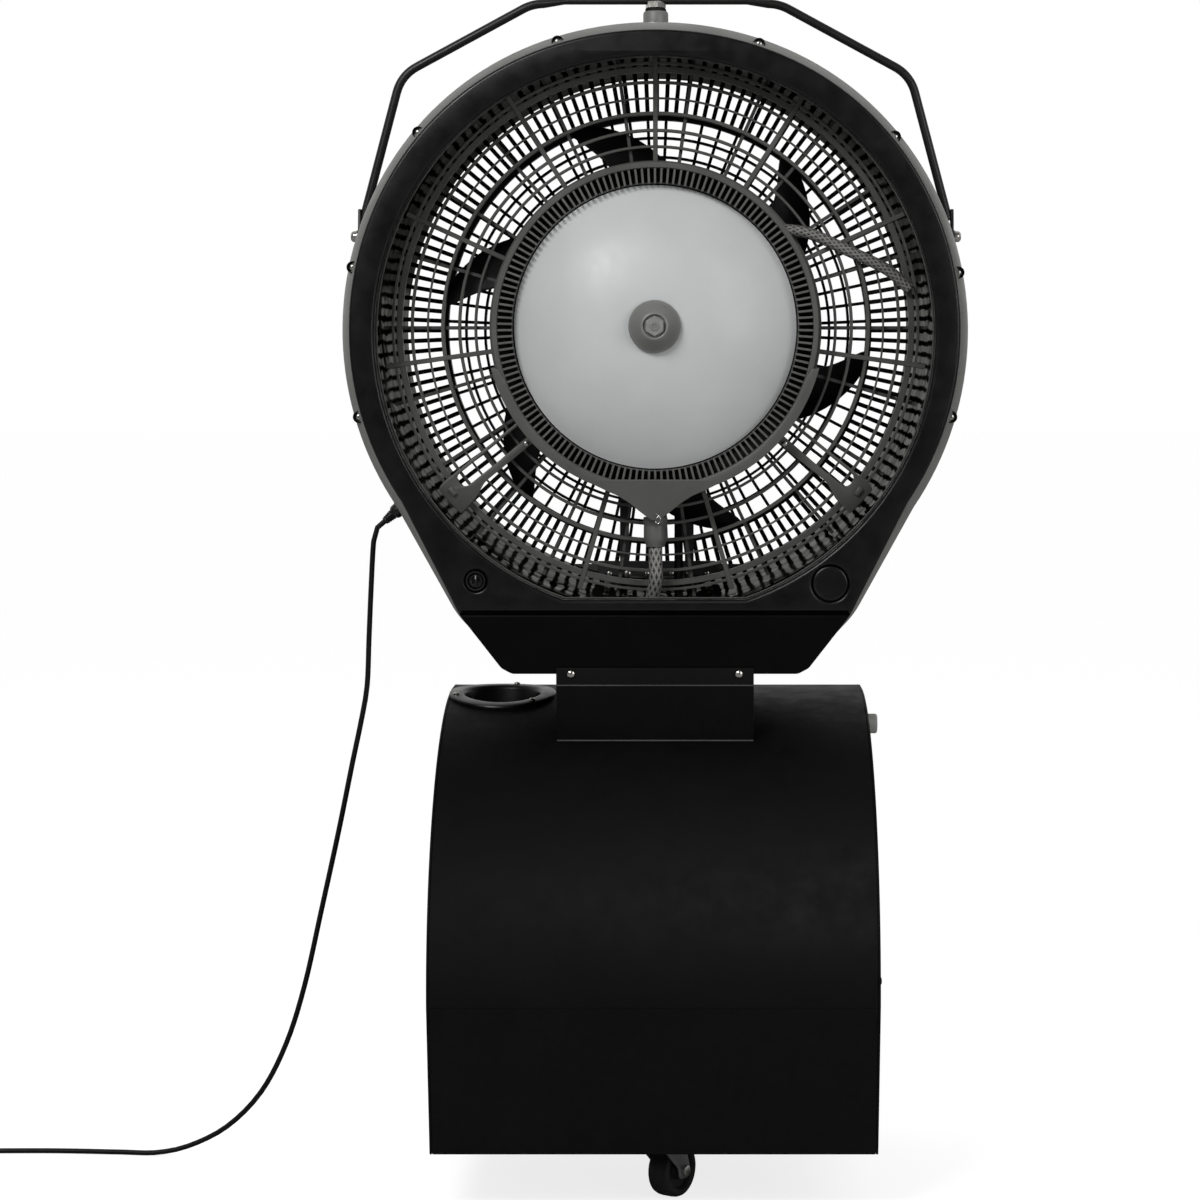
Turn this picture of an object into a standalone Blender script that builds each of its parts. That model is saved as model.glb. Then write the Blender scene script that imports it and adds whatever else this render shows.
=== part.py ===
"""Mobile misting fan: a round fan head with a spinning disc atomiser, on a wheeled water-tank cart.

Metres, +Z up, and the air blows towards -Y.  The origin is on the floor, in the middle of the
object's box.  Head parts are placed from the plane of the head's front face, cart parts from the
crease across the cabinet's front, which is the foremost line of the machine.
"""

from math import asin, atan2, cos, hypot, pi, radians, sin, sqrt

import bmesh
import bpy
from mathutils import Matrix, Vector

# ---------------------------------------------------------------- shared fits
GAP = 0.0003            # between pieces that touch
RUN = 0.0003            # radial clearance of a turning piece
SHEET = 0.003           # cabinet and bracket sheet

# ---------------------------------------------------------------- cart cabinet
CABINET_WIDTH = 0.560
CABINET_DEPTH = 0.500
CABINET_TOP = 0.6217
CABINET_BOTTOM = 0.0776
CREASE_HEIGHT = 0.2705
CURVE_DEPTH = 0.450     # from the crease back to the flat of the top
LOWER_RAKE = 0.040      # how far the lower front runs back from the crease
PAN_THICKNESS = 0.006

# ---------------------------------------------------------------- head casing
HEAD_SETBACK = 0.200    # head's front face behind the crease
HEAD_DEPTH = 0.320
HEAD_RADIUS = 0.406
HEAD_CLEARANCE = 0.0425     # head's underside above the cabinet's top
SKIRT_DROP = 0.033      # flat underside below the head's circle
SKIRT_BASE_HALF = 0.182
SKIRT_CORNER = (0.016, 0.0065)
SKIRT_BULGE = 0.012
HOUSING_WALL = 0.003
BEZEL_DEPTH = 0.030
BEZEL_MARGIN = 0.015    # grey casing left showing around the front ring
MARGIN_RUN_OUT = 0.120  # height above the base over which that margin closes
OPENING_RADIUS = 0.3585
OPENING_DROP = 0.0045   # opening's centre below the casing's
LIP_HEIGHT = 0.3435     # flat lip below the casing's centre
SEAM_HEIGHT = 0.3616    # bezel's lower edge below the casing's centre
REAR_OPENING_RADIUS = 0.346

# ---------------------------------------------------------------- inside the head
AXIS_RISE = 0.0062      # rotor axis above the casing's centre
DUCT_FRONT_RADIUS = 0.367
DUCT_REAR_RADIUS = 0.341
DUCT_WALL = 0.0025
DOME_RADIUS = 0.1828
DOME_HEIGHT = 0.060
DOME_WALL = 0.003
DOME_SETBACK = 0.060    # dome's rim behind the head's front face
NOSE_RADIUS = 0.0337
NOSE_LENGTH = 0.026
NUT_RADIUS = 0.0132
SHAFT_RADIUS = 0.008
COMB_INNER_RADIUS = 0.1850
COMB_OUTER_RADIUS = 0.2058
COMB_DEPTH = 0.040
COLLECTOR_DEPTH = 0.012
COLLECTOR_REACH = 0.2458    # funnel's tip below the rotor axis
GRILLE_SETBACK = 0.095
GRILLE_THICKNESS = 0.012
GRILLE_INNER_RADIUS = 0.2065
GRILLE_RIM_RADIUS = 0.3275
GRILLE_RIBS = 16
REAR_GRILLE_RADIUS = 0.352
REAR_GRILLE_THICKNESS = 0.019
FAN_RADIUS = 0.285
FAN_HUB_RADIUS = 0.055
FAN_HUB_LENGTH = 0.050
FAN_SETBACK = 0.168     # middle of the blades
FAN_BLADES = 6
FAN_FIRST_BLADE = radians(22.5)
BLADE_PITCH_ROOT = radians(34)
BLADE_PITCH_TIP = radians(22)
BLADE_CHORD = 0.090      # at the root
BLADE_TIP_LEFT = 0.05    # how little of the chord, squared, is left at the tip
BLADE_SWEEP = radians(30)
BLADE_THICKNESS = 0.003
MOTOR_SETBACK = 0.205
MOTOR_LENGTH = 0.080
MOTOR_RADIUS = 0.075
MOTOR_WALL = 0.004
POST_SPACING = 0.088
POST_WIDTH = 0.012
POST_DEPTH = 0.020
ARM_ANGLE = radians(-38.8)
ARM_WIDTH = 0.034

# ---------------------------------------------------------------- yoke
YOKE_ROD_RADIUS = 0.0058
YOKE_SETBACK = 0.150
YOKE_STACK = 0.0315     # strap's top above the casing
BUSH_HEIGHT = 0.0150
WASHER_HEIGHT = 0.0035
YOKE_TOP_HALF = 0.162
YOKE_BEND = (0.335, 0.338)
YOKE_FOOT = (0.3828, 0.161)
YOKE_TAB_HEIGHT = 0.127     # side bolts above the casing's centre
YOKE_TAB_OFFSET = 0.3945    # tab's outer face from the middle plane

# ---------------------------------------------------------------- neck
NECK_WIDTH = 0.254
NECK_FLANGE = 0.022     # height of the flange on the head's front
NECK_LAP = 0.0082       # flange's top above the casing's underside
NECK_CHEEK_DEPTH = 0.170

# ---------------------------------------------------------------- cart fittings
FILLER_RADIUS = 0.0715
FILLER_BORE = 0.0530
FILLER_THICKNESS = 0.005
FILLER_THROAT = 0.130   # length of the funnel's throat below the cabinet's top
FILLER_PLACE = (-0.2070, 0.385)     # across, and back from the crease
TANK_WALL = 0.003
TANK_DEPTH = 0.390
TANK_SIDE_ROOM = 0.045      # beside the tank, inside the cabinet's width
TANK_HEADROOM = 0.2204      # from the tank's rim up to the cabinet's top
TANK_SETBACK = 0.060
HOSE_RADIUS = 0.0060
HOSE_SETBACK = 0.121    # hoses' rise through the casing, behind the head's front face
DRAIN_RADIUS = 0.0090
FLOW_KNOB_RADIUS = 0.0128
FLOW_KNOB_REACH = 0.0165
FLOW_KNOB_PLACE = (0.380, 0.0410)   # back from the crease, and below the cabinet's top
CONTROL_PLACE = (-0.2300, -0.3190)  # from the casing's centre
CAP_PLACE = (0.2250, -0.3225)
WHEEL_RADIUS = 0.0350
WHEEL_WIDTH = 0.0300
WHEEL_HEADROOM = 0.025              # from the wheels' tops up to the base pan
CASTER_PLACE = (0.006, 0.115)       # across, and back from the crease
CASTER_TRAIL = 0.028
CASTER_TURN = radians(-35)          # how far the front caster is turned from straight ahead
REAR_WHEEL_INSET = 0.075
REAR_WHEEL_SETBACK = 0.430

# ---------------------------------------------------------------- power cord
GLAND_PLACE = (-0.3330, 0.100, 0.2118)   # across, back from the head's front, above its underside
CORD_RADIUS = 0.0035
CORD_ROUTE = (          # from the gland to the floor and along it, chosen by hand
    (-0.3655, 0.040, 0.8480),
    (-0.3705, 0.040, 0.8300),
    (-0.3745, 0.040, 0.7646),
    (-0.3776, 0.040, 0.6999),
    (-0.3805, 0.040, 0.6391),
    (-0.3892, 0.040, 0.5900),
    (-0.4000, 0.040, 0.5400),
    (-0.4200, 0.045, 0.4459),
    (-0.4440, 0.050, 0.3408),
    (-0.4690, 0.060, 0.2355),
    (-0.4950, 0.065, 0.1560),
    (-0.5297, 0.070, 0.0900),
    (-0.5765, 0.075, 0.0420),
    (-0.6300, 0.080, 0.0140),
    (-0.6760, 0.083, 0.0042),
    (-0.7188, 0.088, 0.0038),
    (-0.8052, 0.095, 0.0038),
    (-0.8862, 0.095, 0.0038),
    (-0.9200, 0.095, 0.0038),
)
COIL_CENTRE = (-0.9600, 0.135)
COIL_RADIUS = 0.040     # middle of the turns
COIL_WIDTH = 0.0215
COIL_HEIGHT = 0.0145
PLUG_LENGTH = 0.036
PLUG_WIDTH = 0.026
PLUG_HEIGHT = 0.016
RELIEF_LENGTH = 0.022    # the plug's own strain relief
RELIEF_TIP = 0.0042
RELIEF_ROOT = 0.0068

# ---------------------------------------------------------------- places worked out from the sizes
OVERALL_DEPTH = max(HEAD_SETBACK + HEAD_DEPTH, CABINET_DEPTH)
CREASE_Y = -OVERALL_DEPTH / 2
HEAD_FRONT = CREASE_Y + HEAD_SETBACK
HEAD_BASE = CABINET_TOP + HEAD_CLEARANCE
HEAD_Z = HEAD_BASE + SKIRT_DROP + HEAD_RADIUS
AXIS_Z = HEAD_Z + AXIS_RISE
CABINET_BACK = CREASE_Y + CABINET_DEPTH
PAN_HEIGHT = 2 * WHEEL_RADIUS + WHEEL_HEADROOM
TANK_BASE = PAN_HEIGHT + PAN_THICKNESS + GAP
TANK_RIM = CABINET_TOP - TANK_HEADROOM

PALETTE = {
    "casing_grey": ((0.115, 0.115, 0.110), 0.55, 0.0),
    "casing_black": ((0.012, 0.012, 0.013), 0.42, 0.0),
    "grille_plastic": ((0.030, 0.030, 0.029), 0.48, 0.0),
    "duct_gloss": ((0.035, 0.035, 0.034), 0.18, 0.0),
    "dome_plastic": ((0.400, 0.405, 0.405), 0.38, 0.0),
    "nose_plastic": ((0.150, 0.150, 0.148), 0.40, 0.0),
    "fan_black": ((0.010, 0.010, 0.010), 0.50, 0.0),
    "sheet_black": ((0.008, 0.008, 0.008), 0.60, 0.2),
    "rod_black": ((0.010, 0.010, 0.010), 0.45, 0.3),
    "zinc": ((0.520, 0.510, 0.480), 0.32, 1.0),
    "steel": ((0.420, 0.420, 0.420), 0.28, 1.0),
    "motor_metal": ((0.060, 0.060, 0.062), 0.50, 0.4),
    "rubber": ((0.012, 0.012, 0.012), 0.75, 0.0),
    "braid": ((0.090, 0.088, 0.083), 0.45, 0.5),
    "tank_plastic": ((0.350, 0.360, 0.360), 0.50, 0.0),
    "light_plastic": ((0.480, 0.480, 0.460), 0.45, 0.0),
    "cord_black": ((0.010, 0.010, 0.010), 0.55, 0.0),
    "caster_wheel": ((0.025, 0.025, 0.026), 0.60, 0.0),
}

for old in list(bpy.data.objects):
    bpy.data.objects.remove(old, do_unlink=True)
PARTS = bpy.data.collections.new("misting_fan")
CUTTERS = bpy.data.collections.new("cutters")
bpy.context.scene.collection.children.link(PARTS)
bpy.context.scene.collection.children.link(CUTTERS)


# ---------------------------------------------------------------- making solids
def material(name):
    found = bpy.data.materials.get(name)
    if found:
        return found
    colour, roughness, metallic = PALETTE[name]
    made = bpy.data.materials.new(name)
    made.use_nodes = True
    shader = made.node_tree.nodes["Principled BSDF"]
    shader.inputs["Base Color"].default_value = (*colour, 1.0)
    shader.inputs["Roughness"].default_value = roughness
    shader.inputs["Metallic"].default_value = metallic
    return made


def put(obj, finish):
    """Moves a new object into the parts' collection, or the cutters' where finish is None."""
    for held in list(obj.users_collection):
        held.objects.unlink(obj)
    if finish is None:
        CUTTERS.objects.link(obj)
        obj.hide_render = True
        obj.display_type = "WIRE"
    else:
        PARTS.objects.link(obj)
        obj.data.materials.append(material(finish))
    return obj


def mesh_part(name, bm, finish, place=(0, 0, 0), turn=(0, 0, 0)):
    mesh = bpy.data.meshes.new(name)
    bm.to_mesh(mesh)
    bm.free()
    obj = bpy.data.objects.new(name, mesh)
    obj.location = place
    obj.rotation_euler = turn
    return put(obj, finish)


def smooth(obj, angle=35):
    obj.data.shade_smooth()
    obj.data.set_sharp_from_angle(angle=radians(angle))
    return obj


def bevel(obj, width, segments=1):
    edge = obj.modifiers.new("edges", "BEVEL")
    edge.width = width
    edge.segments = segments
    edge.limit_method = "ANGLE"
    edge.angle_limit = radians(40)
    return obj


def box(name, size, centre, finish, edge=0.0, turn=(0, 0, 0)):
    bm = bmesh.new()
    bmesh.ops.create_cube(bm, size=1.0)
    bmesh.ops.scale(bm, vec=size, verts=bm.verts)
    obj = mesh_part(name, bm, finish, centre, turn)
    return bevel(obj, edge) if edge else obj


AXIS_TURN = {"X": (0, pi / 2, 0), "Y": (pi / 2, 0, 0), "Z": (0, 0, 0)}


def cylinder(name, radius, length, centre, axis, finish, sides=32, top_radius=None):
    """A round bar; with axis Y its top end faces the front."""
    bm = bmesh.new()
    bmesh.ops.create_cone(
        bm,
        cap_ends=True,
        segments=sides,
        radius1=radius,
        radius2=radius if top_radius is None else top_radius,
        depth=length,
    )
    return smooth(mesh_part(name, bm, finish, centre, AXIS_TURN[axis]))


def turned(name, profile, centre, axis, finish, steps=40):
    """A turned solid.  profile lists (radius, height) down its outer side; height runs to the
    front on axis Y.  A profile that never reaches the axis is closed into a ring."""
    bm = bmesh.new()
    points = [bm.verts.new((radius, 0, height)) for radius, height in profile]
    for first, second in zip(points, points[1:]):
        bm.edges.new((first, second))
    if min(radius for radius, _ in profile) > 0:
        bm.edges.new((points[-1], points[0]))
    obj = mesh_part(name, bm, finish, centre, AXIS_TURN[axis])
    screw = obj.modifiers.new("turn", "SCREW")
    screw.axis = "Z"
    screw.steps = steps
    screw.render_steps = steps
    screw.use_merge_vertices = True
    screw.merge_threshold = 0.00001
    screw.use_smooth_shade = True
    return obj


def ring(name, inner, outer, length, centre, axis, finish, steps=40):
    half = length / 2
    profile = [(inner, half), (outer, half), (outer, -half), (inner, -half)]
    return turned(name, profile, centre, axis, finish, steps)


def plate(name, outlines, thickness, centre, plane, finish, spin=0.0):
    """A flat piece: the first outline is its edge and the others are holes."""
    curve = bpy.data.curves.new(name, "CURVE")
    curve.dimensions = "2D"
    curve.fill_mode = "BOTH"
    curve.extrude = thickness / 2
    for outline in outlines:
        line = curve.splines.new("POLY")
        line.points.add(len(outline) - 1)
        for point, (across, up) in zip(line.points, outline):
            point.co = (across, up, 0, 1)
        line.use_cyclic_u = True
    obj = bpy.data.objects.new(name, curve)
    turn = Matrix.Rotation(spin, 4, "Z")
    place = Matrix.Translation(centre)
    base = {"XY": Matrix(), "XZ": Matrix.Rotation(pi / 2, 4, "X")}.get(plane)
    if base is None:
        base = Matrix.Rotation(pi / 2, 4, "Z") @ Matrix.Rotation(pi / 2, 4, "X")
    obj.matrix_world = place @ base @ turn
    return put(obj, finish)


def tube(name, points, radius, finish, resolution=2):
    curve = bpy.data.curves.new(name, "CURVE")
    curve.dimensions = "3D"
    curve.bevel_depth = radius
    curve.bevel_resolution = resolution
    curve.use_fill_caps = True
    line = curve.splines.new("POLY")
    line.points.add(len(points) - 1)
    for point, place in zip(line.points, points):
        point.co = (*place, 1)
    return put(bpy.data.objects.new(name, curve), finish)


def as_mesh(obj):
    """Turns a curve object into a welded mesh object of the same name and place."""
    bpy.context.view_layer.update()
    name = obj.name
    graph = bpy.context.evaluated_depsgraph_get()
    mesh = bpy.data.meshes.new_from_object(obj.evaluated_get(graph))
    place = obj.matrix_world.copy()
    holders = list(obj.users_collection)
    hidden = obj.hide_render
    bpy.data.objects.remove(obj, do_unlink=True)
    bm = bmesh.new()
    bm.from_mesh(mesh)
    bmesh.ops.remove_doubles(bm, verts=bm.verts, dist=0.00001)
    bm.to_mesh(mesh)
    bm.free()
    made = bpy.data.objects.new(name, mesh)
    made.matrix_world = place
    made.hide_render = hidden
    for holder in holders:
        holder.objects.link(made)
    if hidden:
        made.display_type = "WIRE"
    return made


def combine(obj, tool, operation):
    change = obj.modifiers.new(tool.name, "BOOLEAN")
    change.operation = operation
    change.solver = "EXACT"
    change.object = tool
    return obj


def cut(obj, tool):
    return combine(obj, tool, "DIFFERENCE")


def through_curve(points, spacing):
    """Points about every spacing along a smooth curve through the given points."""
    places = [Vector(p) for p in points]
    places = [2 * places[0] - places[1], *places, 2 * places[-1] - places[-2]]
    found = []
    for before, start, end, after in zip(places, places[1:], places[2:], places[3:]):
        count = max(1, round((end - start).length / spacing))
        for step in range(count):
            t = step / count
            found.append(
                0.5
                * (
                    2 * start
                    + (end - before) * t
                    + (2 * before - 5 * start + 4 * end - after) * t**2
                    + (3 * start - before - 3 * end + after) * t**3
                )
            )
    return [*found, places[-2]]


def arc(radius, start, end, count, centre=(0.0, 0.0)):
    """count + 1 points on a circle, from one angle to the other."""
    angles = [start + (end - start) * step / count for step in range(count + 1)]
    return [(centre[0] + radius * cos(a), centre[1] + radius * sin(a)) for a in angles]


# ---------------------------------------------------------------- shared outlines
def head_outline(scale=1.0):
    """The casing's outline about its centre, from the top round by the left, as (x, z)."""
    foot = (SKIRT_BASE_HALF + SKIRT_CORNER[0], -(HEAD_RADIUS + SKIRT_DROP - SKIRT_CORNER[1]))
    base = (SKIRT_BASE_HALF, -(HEAD_RADIUS + SKIRT_DROP))
    reach = hypot(*foot)
    tangent = atan2(foot[1], foot[0]) + asin(sqrt(reach**2 - HEAD_RADIUS**2) / reach)
    touch = (HEAD_RADIUS * cos(tangent), HEAD_RADIUS * sin(tangent))
    knee = (
        foot[0] + 0.36 * (touch[0] - foot[0]) + SKIRT_BULGE * cos(tangent),
        foot[1] + 0.36 * (touch[1] - foot[1]) + SKIRT_BULGE * sin(tangent),
    )
    right = [*arc(HEAD_RADIUS, tangent, pi / 2, 20)]
    right = [base, foot, knee, *right]
    left = [(-x, z) for x, z in reversed(right[:-1])]
    return [(x * scale, z * scale) for x, z in [*right, *left]]


def clipped(outline, level, keep_above):
    """The outline's part above or below a level."""
    found = []
    for (x0, z0), (x1, z1) in zip(outline, [*outline[1:], outline[0]]):
        inside0 = (z0 >= level) == keep_above
        inside1 = (z1 >= level) == keep_above
        if inside0:
            found.append((x0, z0))
        if inside0 != inside1:
            share = (level - z0) / (z1 - z0)
            found.append((x0 + share * (x1 - x0), level))
    return found


def front_outline():
    """The black front's outline: inside the casing's by a margin that closes at the base."""
    base = -(HEAD_RADIUS + SKIRT_DROP)
    found = []
    for x, z in head_outline():
        margin = BEZEL_MARGIN * min(1.0, (z - base) / MARGIN_RUN_OUT)
        share = 1 - margin / hypot(x, z)
        found.append((x * share, z * share))
    return found


def skin_profile(offset=0.0):
    """The cabinet's front and top in the YZ plane, from the bottom up, pulled in by offset."""
    lower_length = hypot(LOWER_RAKE, CREASE_HEIGHT - CABINET_BOTTOM)
    lean = LOWER_RAKE / lower_length
    points = [(CREASE_Y + LOWER_RAKE + offset, CABINET_BOTTOM)]
    rise = CABINET_TOP - CREASE_HEIGHT
    for step in range(17):
        angle = pi / 2 * step / 16
        y = CREASE_Y + CURVE_DEPTH - (CURVE_DEPTH - offset) * cos(angle)
        z = CREASE_HEIGHT + lean * 0 + (rise - offset) * sin(angle)
        points.append((y, z))
    points.append((CABINET_BACK, CABINET_TOP - offset))
    return points


def skin_height(y, offset=0.0):
    """The height of the cabinet's curved top at depth y, raised by offset."""
    along = (CREASE_Y + CURVE_DEPTH - y) / (CURVE_DEPTH + offset)
    rise = CABINET_TOP - CREASE_HEIGHT + offset
    if along <= 0:
        return CREASE_HEIGHT + rise
    return CREASE_HEIGHT + rise * sqrt(max(0.0, 1 - along**2))


def skin_slope(y):
    """The angle by which the curved top falls towards the front at depth y."""
    step = 0.0005
    return atan2(skin_height(y + step) - skin_height(y - step), 2 * step)


# ---------------------------------------------------------------- head casing
def loft_shell(name, loops, wall, finish):
    """A shell through loops of equally many points, thickened inwards."""
    bm = bmesh.new()
    rows = [[bm.verts.new(point) for point in loop] for loop in loops]
    count = len(rows[0])
    for near, far in zip(rows, rows[1:]):
        for index in range(count):
            after = (index + 1) % count
            bm.faces.new((near[index], far[index], far[after], near[after]))
    bmesh.ops.recalc_face_normals(bm, faces=bm.faces)
    obj = mesh_part(name, bm, finish)
    thick = obj.modifiers.new("wall", "SOLIDIFY")
    thick.thickness = wall
    thick.offset = -1
    thick.use_even_offset = True
    return obj


def housing_loops():
    """Sections of the grey casing, from its front edge to its round rear opening."""
    stations = (
        (BEZEL_DEPTH + GAP, 0.982),
        (0.065, 1.0),
        (0.170, 0.990),
        (0.250, 0.945),
        (HEAD_DEPTH - REAR_GRILLE_THICKNESS - GAP, 0.905),
    )
    loops = []
    for back, scale in stations:
        loops.append([(x, HEAD_FRONT + back, HEAD_Z + z) for x, z in head_outline(scale)])
    last_y = HEAD_FRONT + stations[-1][0]
    opening = []
    for x, z in head_outline():
        reach = hypot(x, z - AXIS_RISE)
        share = REAR_OPENING_RADIUS / reach
        opening.append((x * share, last_y, AXIS_Z + (z - AXIS_RISE) * share))
    loops.append(opening)
    return loops


def hose_slot(name, height):
    """The cutter of the slot that the two hoses rise through."""
    return box(name, (0.080, 0.090, 0.060), (0, HEAD_FRONT + HOSE_SETBACK - 0.004, height), None)


def make_housing():
    housing = loft_shell("rear_housing", housing_loops(), HOUSING_WALL, "casing_grey")
    slot = hose_slot("housing_hose_slot", HEAD_BASE)
    stud = cylinder(
        "housing_stud_hole", 0.0066, 0.08, (0, yoke_y(), HEAD_Z + HEAD_RADIUS), "Z", None, 16
    )
    cut(housing, slot)
    cut(housing, stud)
    for side in (-1, 1):
        hole = cylinder(
            f"housing_side_hole_{side}",
            0.0046,
            0.10,
            (side * (YOKE_TAB_OFFSET - 0.02), yoke_y(), HEAD_Z + YOKE_TAB_HEIGHT),
            "X",
            None,
            16,
        )
        cut(housing, hole)
    start, along = gland_line()
    entry = cylinder("housing_gland_hole", 0.0068, 0.10, start, "Z", None, 16)
    entry.rotation_euler = along.to_track_quat("Z", "Y").to_euler()
    cut(housing, entry)


def opening_outline():
    """The bezel's round opening with its flat lip, about the casing's centre."""
    fall = LIP_HEIGHT - OPENING_DROP
    corner = asin(-fall / OPENING_RADIUS)
    return arc(OPENING_RADIUS, corner, pi - corner, 44, (0.0, -OPENING_DROP))


def make_bezel():
    outline = clipped(front_outline(), -SEAM_HEIGHT, True)
    pocket = arc(0.0130 + GAP, 0, 2 * pi, 20, CONTROL_PLACE)[:-1]
    socket = arc(0.0225 + GAP, 0, 2 * pi, 24, CAP_PLACE)[:-1]
    centre = (0, HEAD_FRONT + BEZEL_DEPTH / 2, HEAD_Z)
    plate(
        "front_bezel",
        [outline, opening_outline(), pocket, socket],
        BEZEL_DEPTH,
        centre,
        "XZ",
        "casing_black",
    )
    skirt = clipped(front_outline(), -SEAM_HEIGHT - GAP, False)
    plate("skirt_cover", [skirt], BEZEL_DEPTH, centre, "XZ", "casing_black")
    cap_x, cap_z = CAP_PLACE
    cap = cylinder(
        "blank_cap",
        0.0225,
        BEZEL_DEPTH - 0.012,
        (cap_x, HEAD_FRONT + (BEZEL_DEPTH - 0.012) / 2 + 0.0005, HEAD_Z + cap_z),
        "Y",
        "casing_black",
        24,
    )
    bevel(cap, 0.0015)


def duct_radius(back):
    """The duct's inner radius at a distance behind the head's front face."""
    front = BEZEL_DEPTH + GAP
    rear = HEAD_DEPTH - REAR_GRILLE_THICKNESS - HOUSING_WALL - 3 * GAP
    share = (back - front) / (rear - front)
    return DUCT_FRONT_RADIUS + (DUCT_REAR_RADIUS - DUCT_FRONT_RADIUS) * share


def make_duct():
    front = BEZEL_DEPTH + GAP
    rear = HEAD_DEPTH - REAR_GRILLE_THICKNESS - HOUSING_WALL - 3 * GAP
    profile = [
        (DUCT_FRONT_RADIUS + DUCT_WALL, -front),
        (DUCT_REAR_RADIUS + DUCT_WALL, -rear),
        (DUCT_REAR_RADIUS, -rear),
        (DUCT_FRONT_RADIUS, -front),
    ]
    duct = turned("air_duct", profile, (0, HEAD_FRONT, AXIS_Z), "Y", "duct_gloss", 64)
    cut(duct, hose_slot("duct_hose_slot", AXIS_Z - DUCT_FRONT_RADIUS))


# ---------------------------------------------------------------- grilles
def grille_holes(radii, ribs, bar, rib_width):
    """Openings between neighbouring rings and ribs; each side has a point at its middle."""
    holes = []
    pitch = 2 * pi / ribs
    for inner, outer in zip(radii, radii[1:]):
        low = inner + bar / 2
        high = outer - bar / 2
        for rib in range(ribs):
            start = rib * pitch
            near = rib_width / 2 / low
            far = rib_width / 2 / high
            hole = [*arc(low, start + near, start + pitch - near, 2)]
            hole += reversed(arc(high, start + far, start + pitch - far, 2))
            holes.append(hole)
    return holes


def make_front_grille():
    lug_radius = duct_radius(GRILLE_SETBACK + GRILLE_THICKNESS) - GAP - 0.001
    rim = []
    lugs = 8
    half_lug = 0.008
    for lug in range(lugs):
        middle = 2 * pi * lug / lugs + pi / lugs
        inside = half_lug / GRILLE_RIM_RADIUS
        outside = half_lug / lug_radius
        rim += arc(lug_radius, middle - outside, middle + outside, 1)
        rim += arc(GRILLE_RIM_RADIUS, middle + inside, middle + 2 * pi / lugs - inside, 7)
    radii = (0.2150, 0.2450, 0.2800, 0.3230)
    holes = grille_holes(radii, GRILLE_RIBS, 0.0045, 0.0050)
    hub = arc(GRILLE_INNER_RADIUS, 0, 2 * pi, 60)[:-1]
    plate(
        "front_grille",
        [rim, hub, *holes],
        GRILLE_THICKNESS,
        (0, HEAD_FRONT + GRILLE_SETBACK + GRILLE_THICKNESS / 2, AXIS_Z),
        "XZ",
        "grille_plastic",
        pi / GRILLE_RIBS,
    )


def make_rear_grille():
    rim = arc(REAR_GRILLE_RADIUS, 0, 2 * pi, 64)[:-1]
    radii = (0.085, 0.215, REAR_OPENING_RADIUS - 0.004)
    holes = grille_holes(radii, GRILLE_RIBS, 0.005, 0.006)
    plate(
        "rear_grille",
        [rim, *holes],
        REAR_GRILLE_THICKNESS - GAP,
        (0, HEAD_FRONT + HEAD_DEPTH - (REAR_GRILLE_THICKNESS - GAP) / 2, AXIS_Z),
        "XZ",
        "grille_plastic",
    )


# ---------------------------------------------------------------- atomiser
def make_dome():
    steps = 7
    inner_reach = DOME_RADIUS - DOME_WALL
    bore = SHAFT_RADIUS + RUN
    outer = []
    for step in range(steps + 1):
        radius = bore + (DOME_RADIUS - bore) * step / steps
        outer.append((radius, DOME_HEIGHT * (1 - (radius / DOME_RADIUS) ** 2.4)))
    inner = []
    for radius in (inner_reach, inner_reach * 0.8, inner_reach * 0.5, bore):
        share = 1 - (radius / inner_reach) ** 2.4
        inner.append((radius, (DOME_HEIGHT - DOME_WALL) * share))
    profile = [*outer, *inner]
    turned("atomiser_dome", profile, (0, dome_rim_y(), AXIS_Z), "Y", "dome_plastic", 40)


def dome_rim_y():
    return HEAD_FRONT + DOME_SETBACK


def nose_back_y():
    return dome_rim_y() - DOME_HEIGHT - GAP


def make_rotor_front():
    bore = SHAFT_RADIUS + RUN
    recess = 0.004
    nose = [
        (bore, NOSE_LENGTH - recess),
        (NUT_RADIUS + 0.0015, NOSE_LENGTH - recess),
        (NUT_RADIUS + 0.0015, NOSE_LENGTH),
        (NOSE_RADIUS * 0.58, NOSE_LENGTH),
        (NOSE_RADIUS * 0.82, NOSE_LENGTH * 0.72),
        (NOSE_RADIUS, NOSE_LENGTH * 0.22),
        (NOSE_RADIUS, 0.0),
        (bore, 0.0),
    ]
    turned("nose_cone", nose, (0, nose_back_y(), AXIS_Z), "Y", "nose_plastic", 24)
    nut_back = nose_back_y() - NOSE_LENGTH + recess - GAP
    nut_length = 0.006
    cylinder(
        "nose_nut",
        NUT_RADIUS,
        nut_length,
        (0, nut_back - nut_length / 2, AXIS_Z),
        "Y",
        "nose_plastic",
        6,
    )
    front = nut_back + GAP
    rear = HEAD_FRONT + MOTOR_SETBACK + MOTOR_LENGTH + 0.004
    cylinder(
        "drive_shaft",
        SHAFT_RADIUS,
        rear - front,
        (0, (front + rear) / 2, AXIS_Z),
        "Y",
        "steel",
        24,
    )
    disc_thickness = 0.004
    ring(
        "atomiser_disc",
        bore,
        DOME_RADIUS - 0.004,
        disc_thickness,
        (0, dome_rim_y() + GAP + disc_thickness / 2, AXIS_Z),
        "Y",
        "dome_plastic",
        48,
    )


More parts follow.
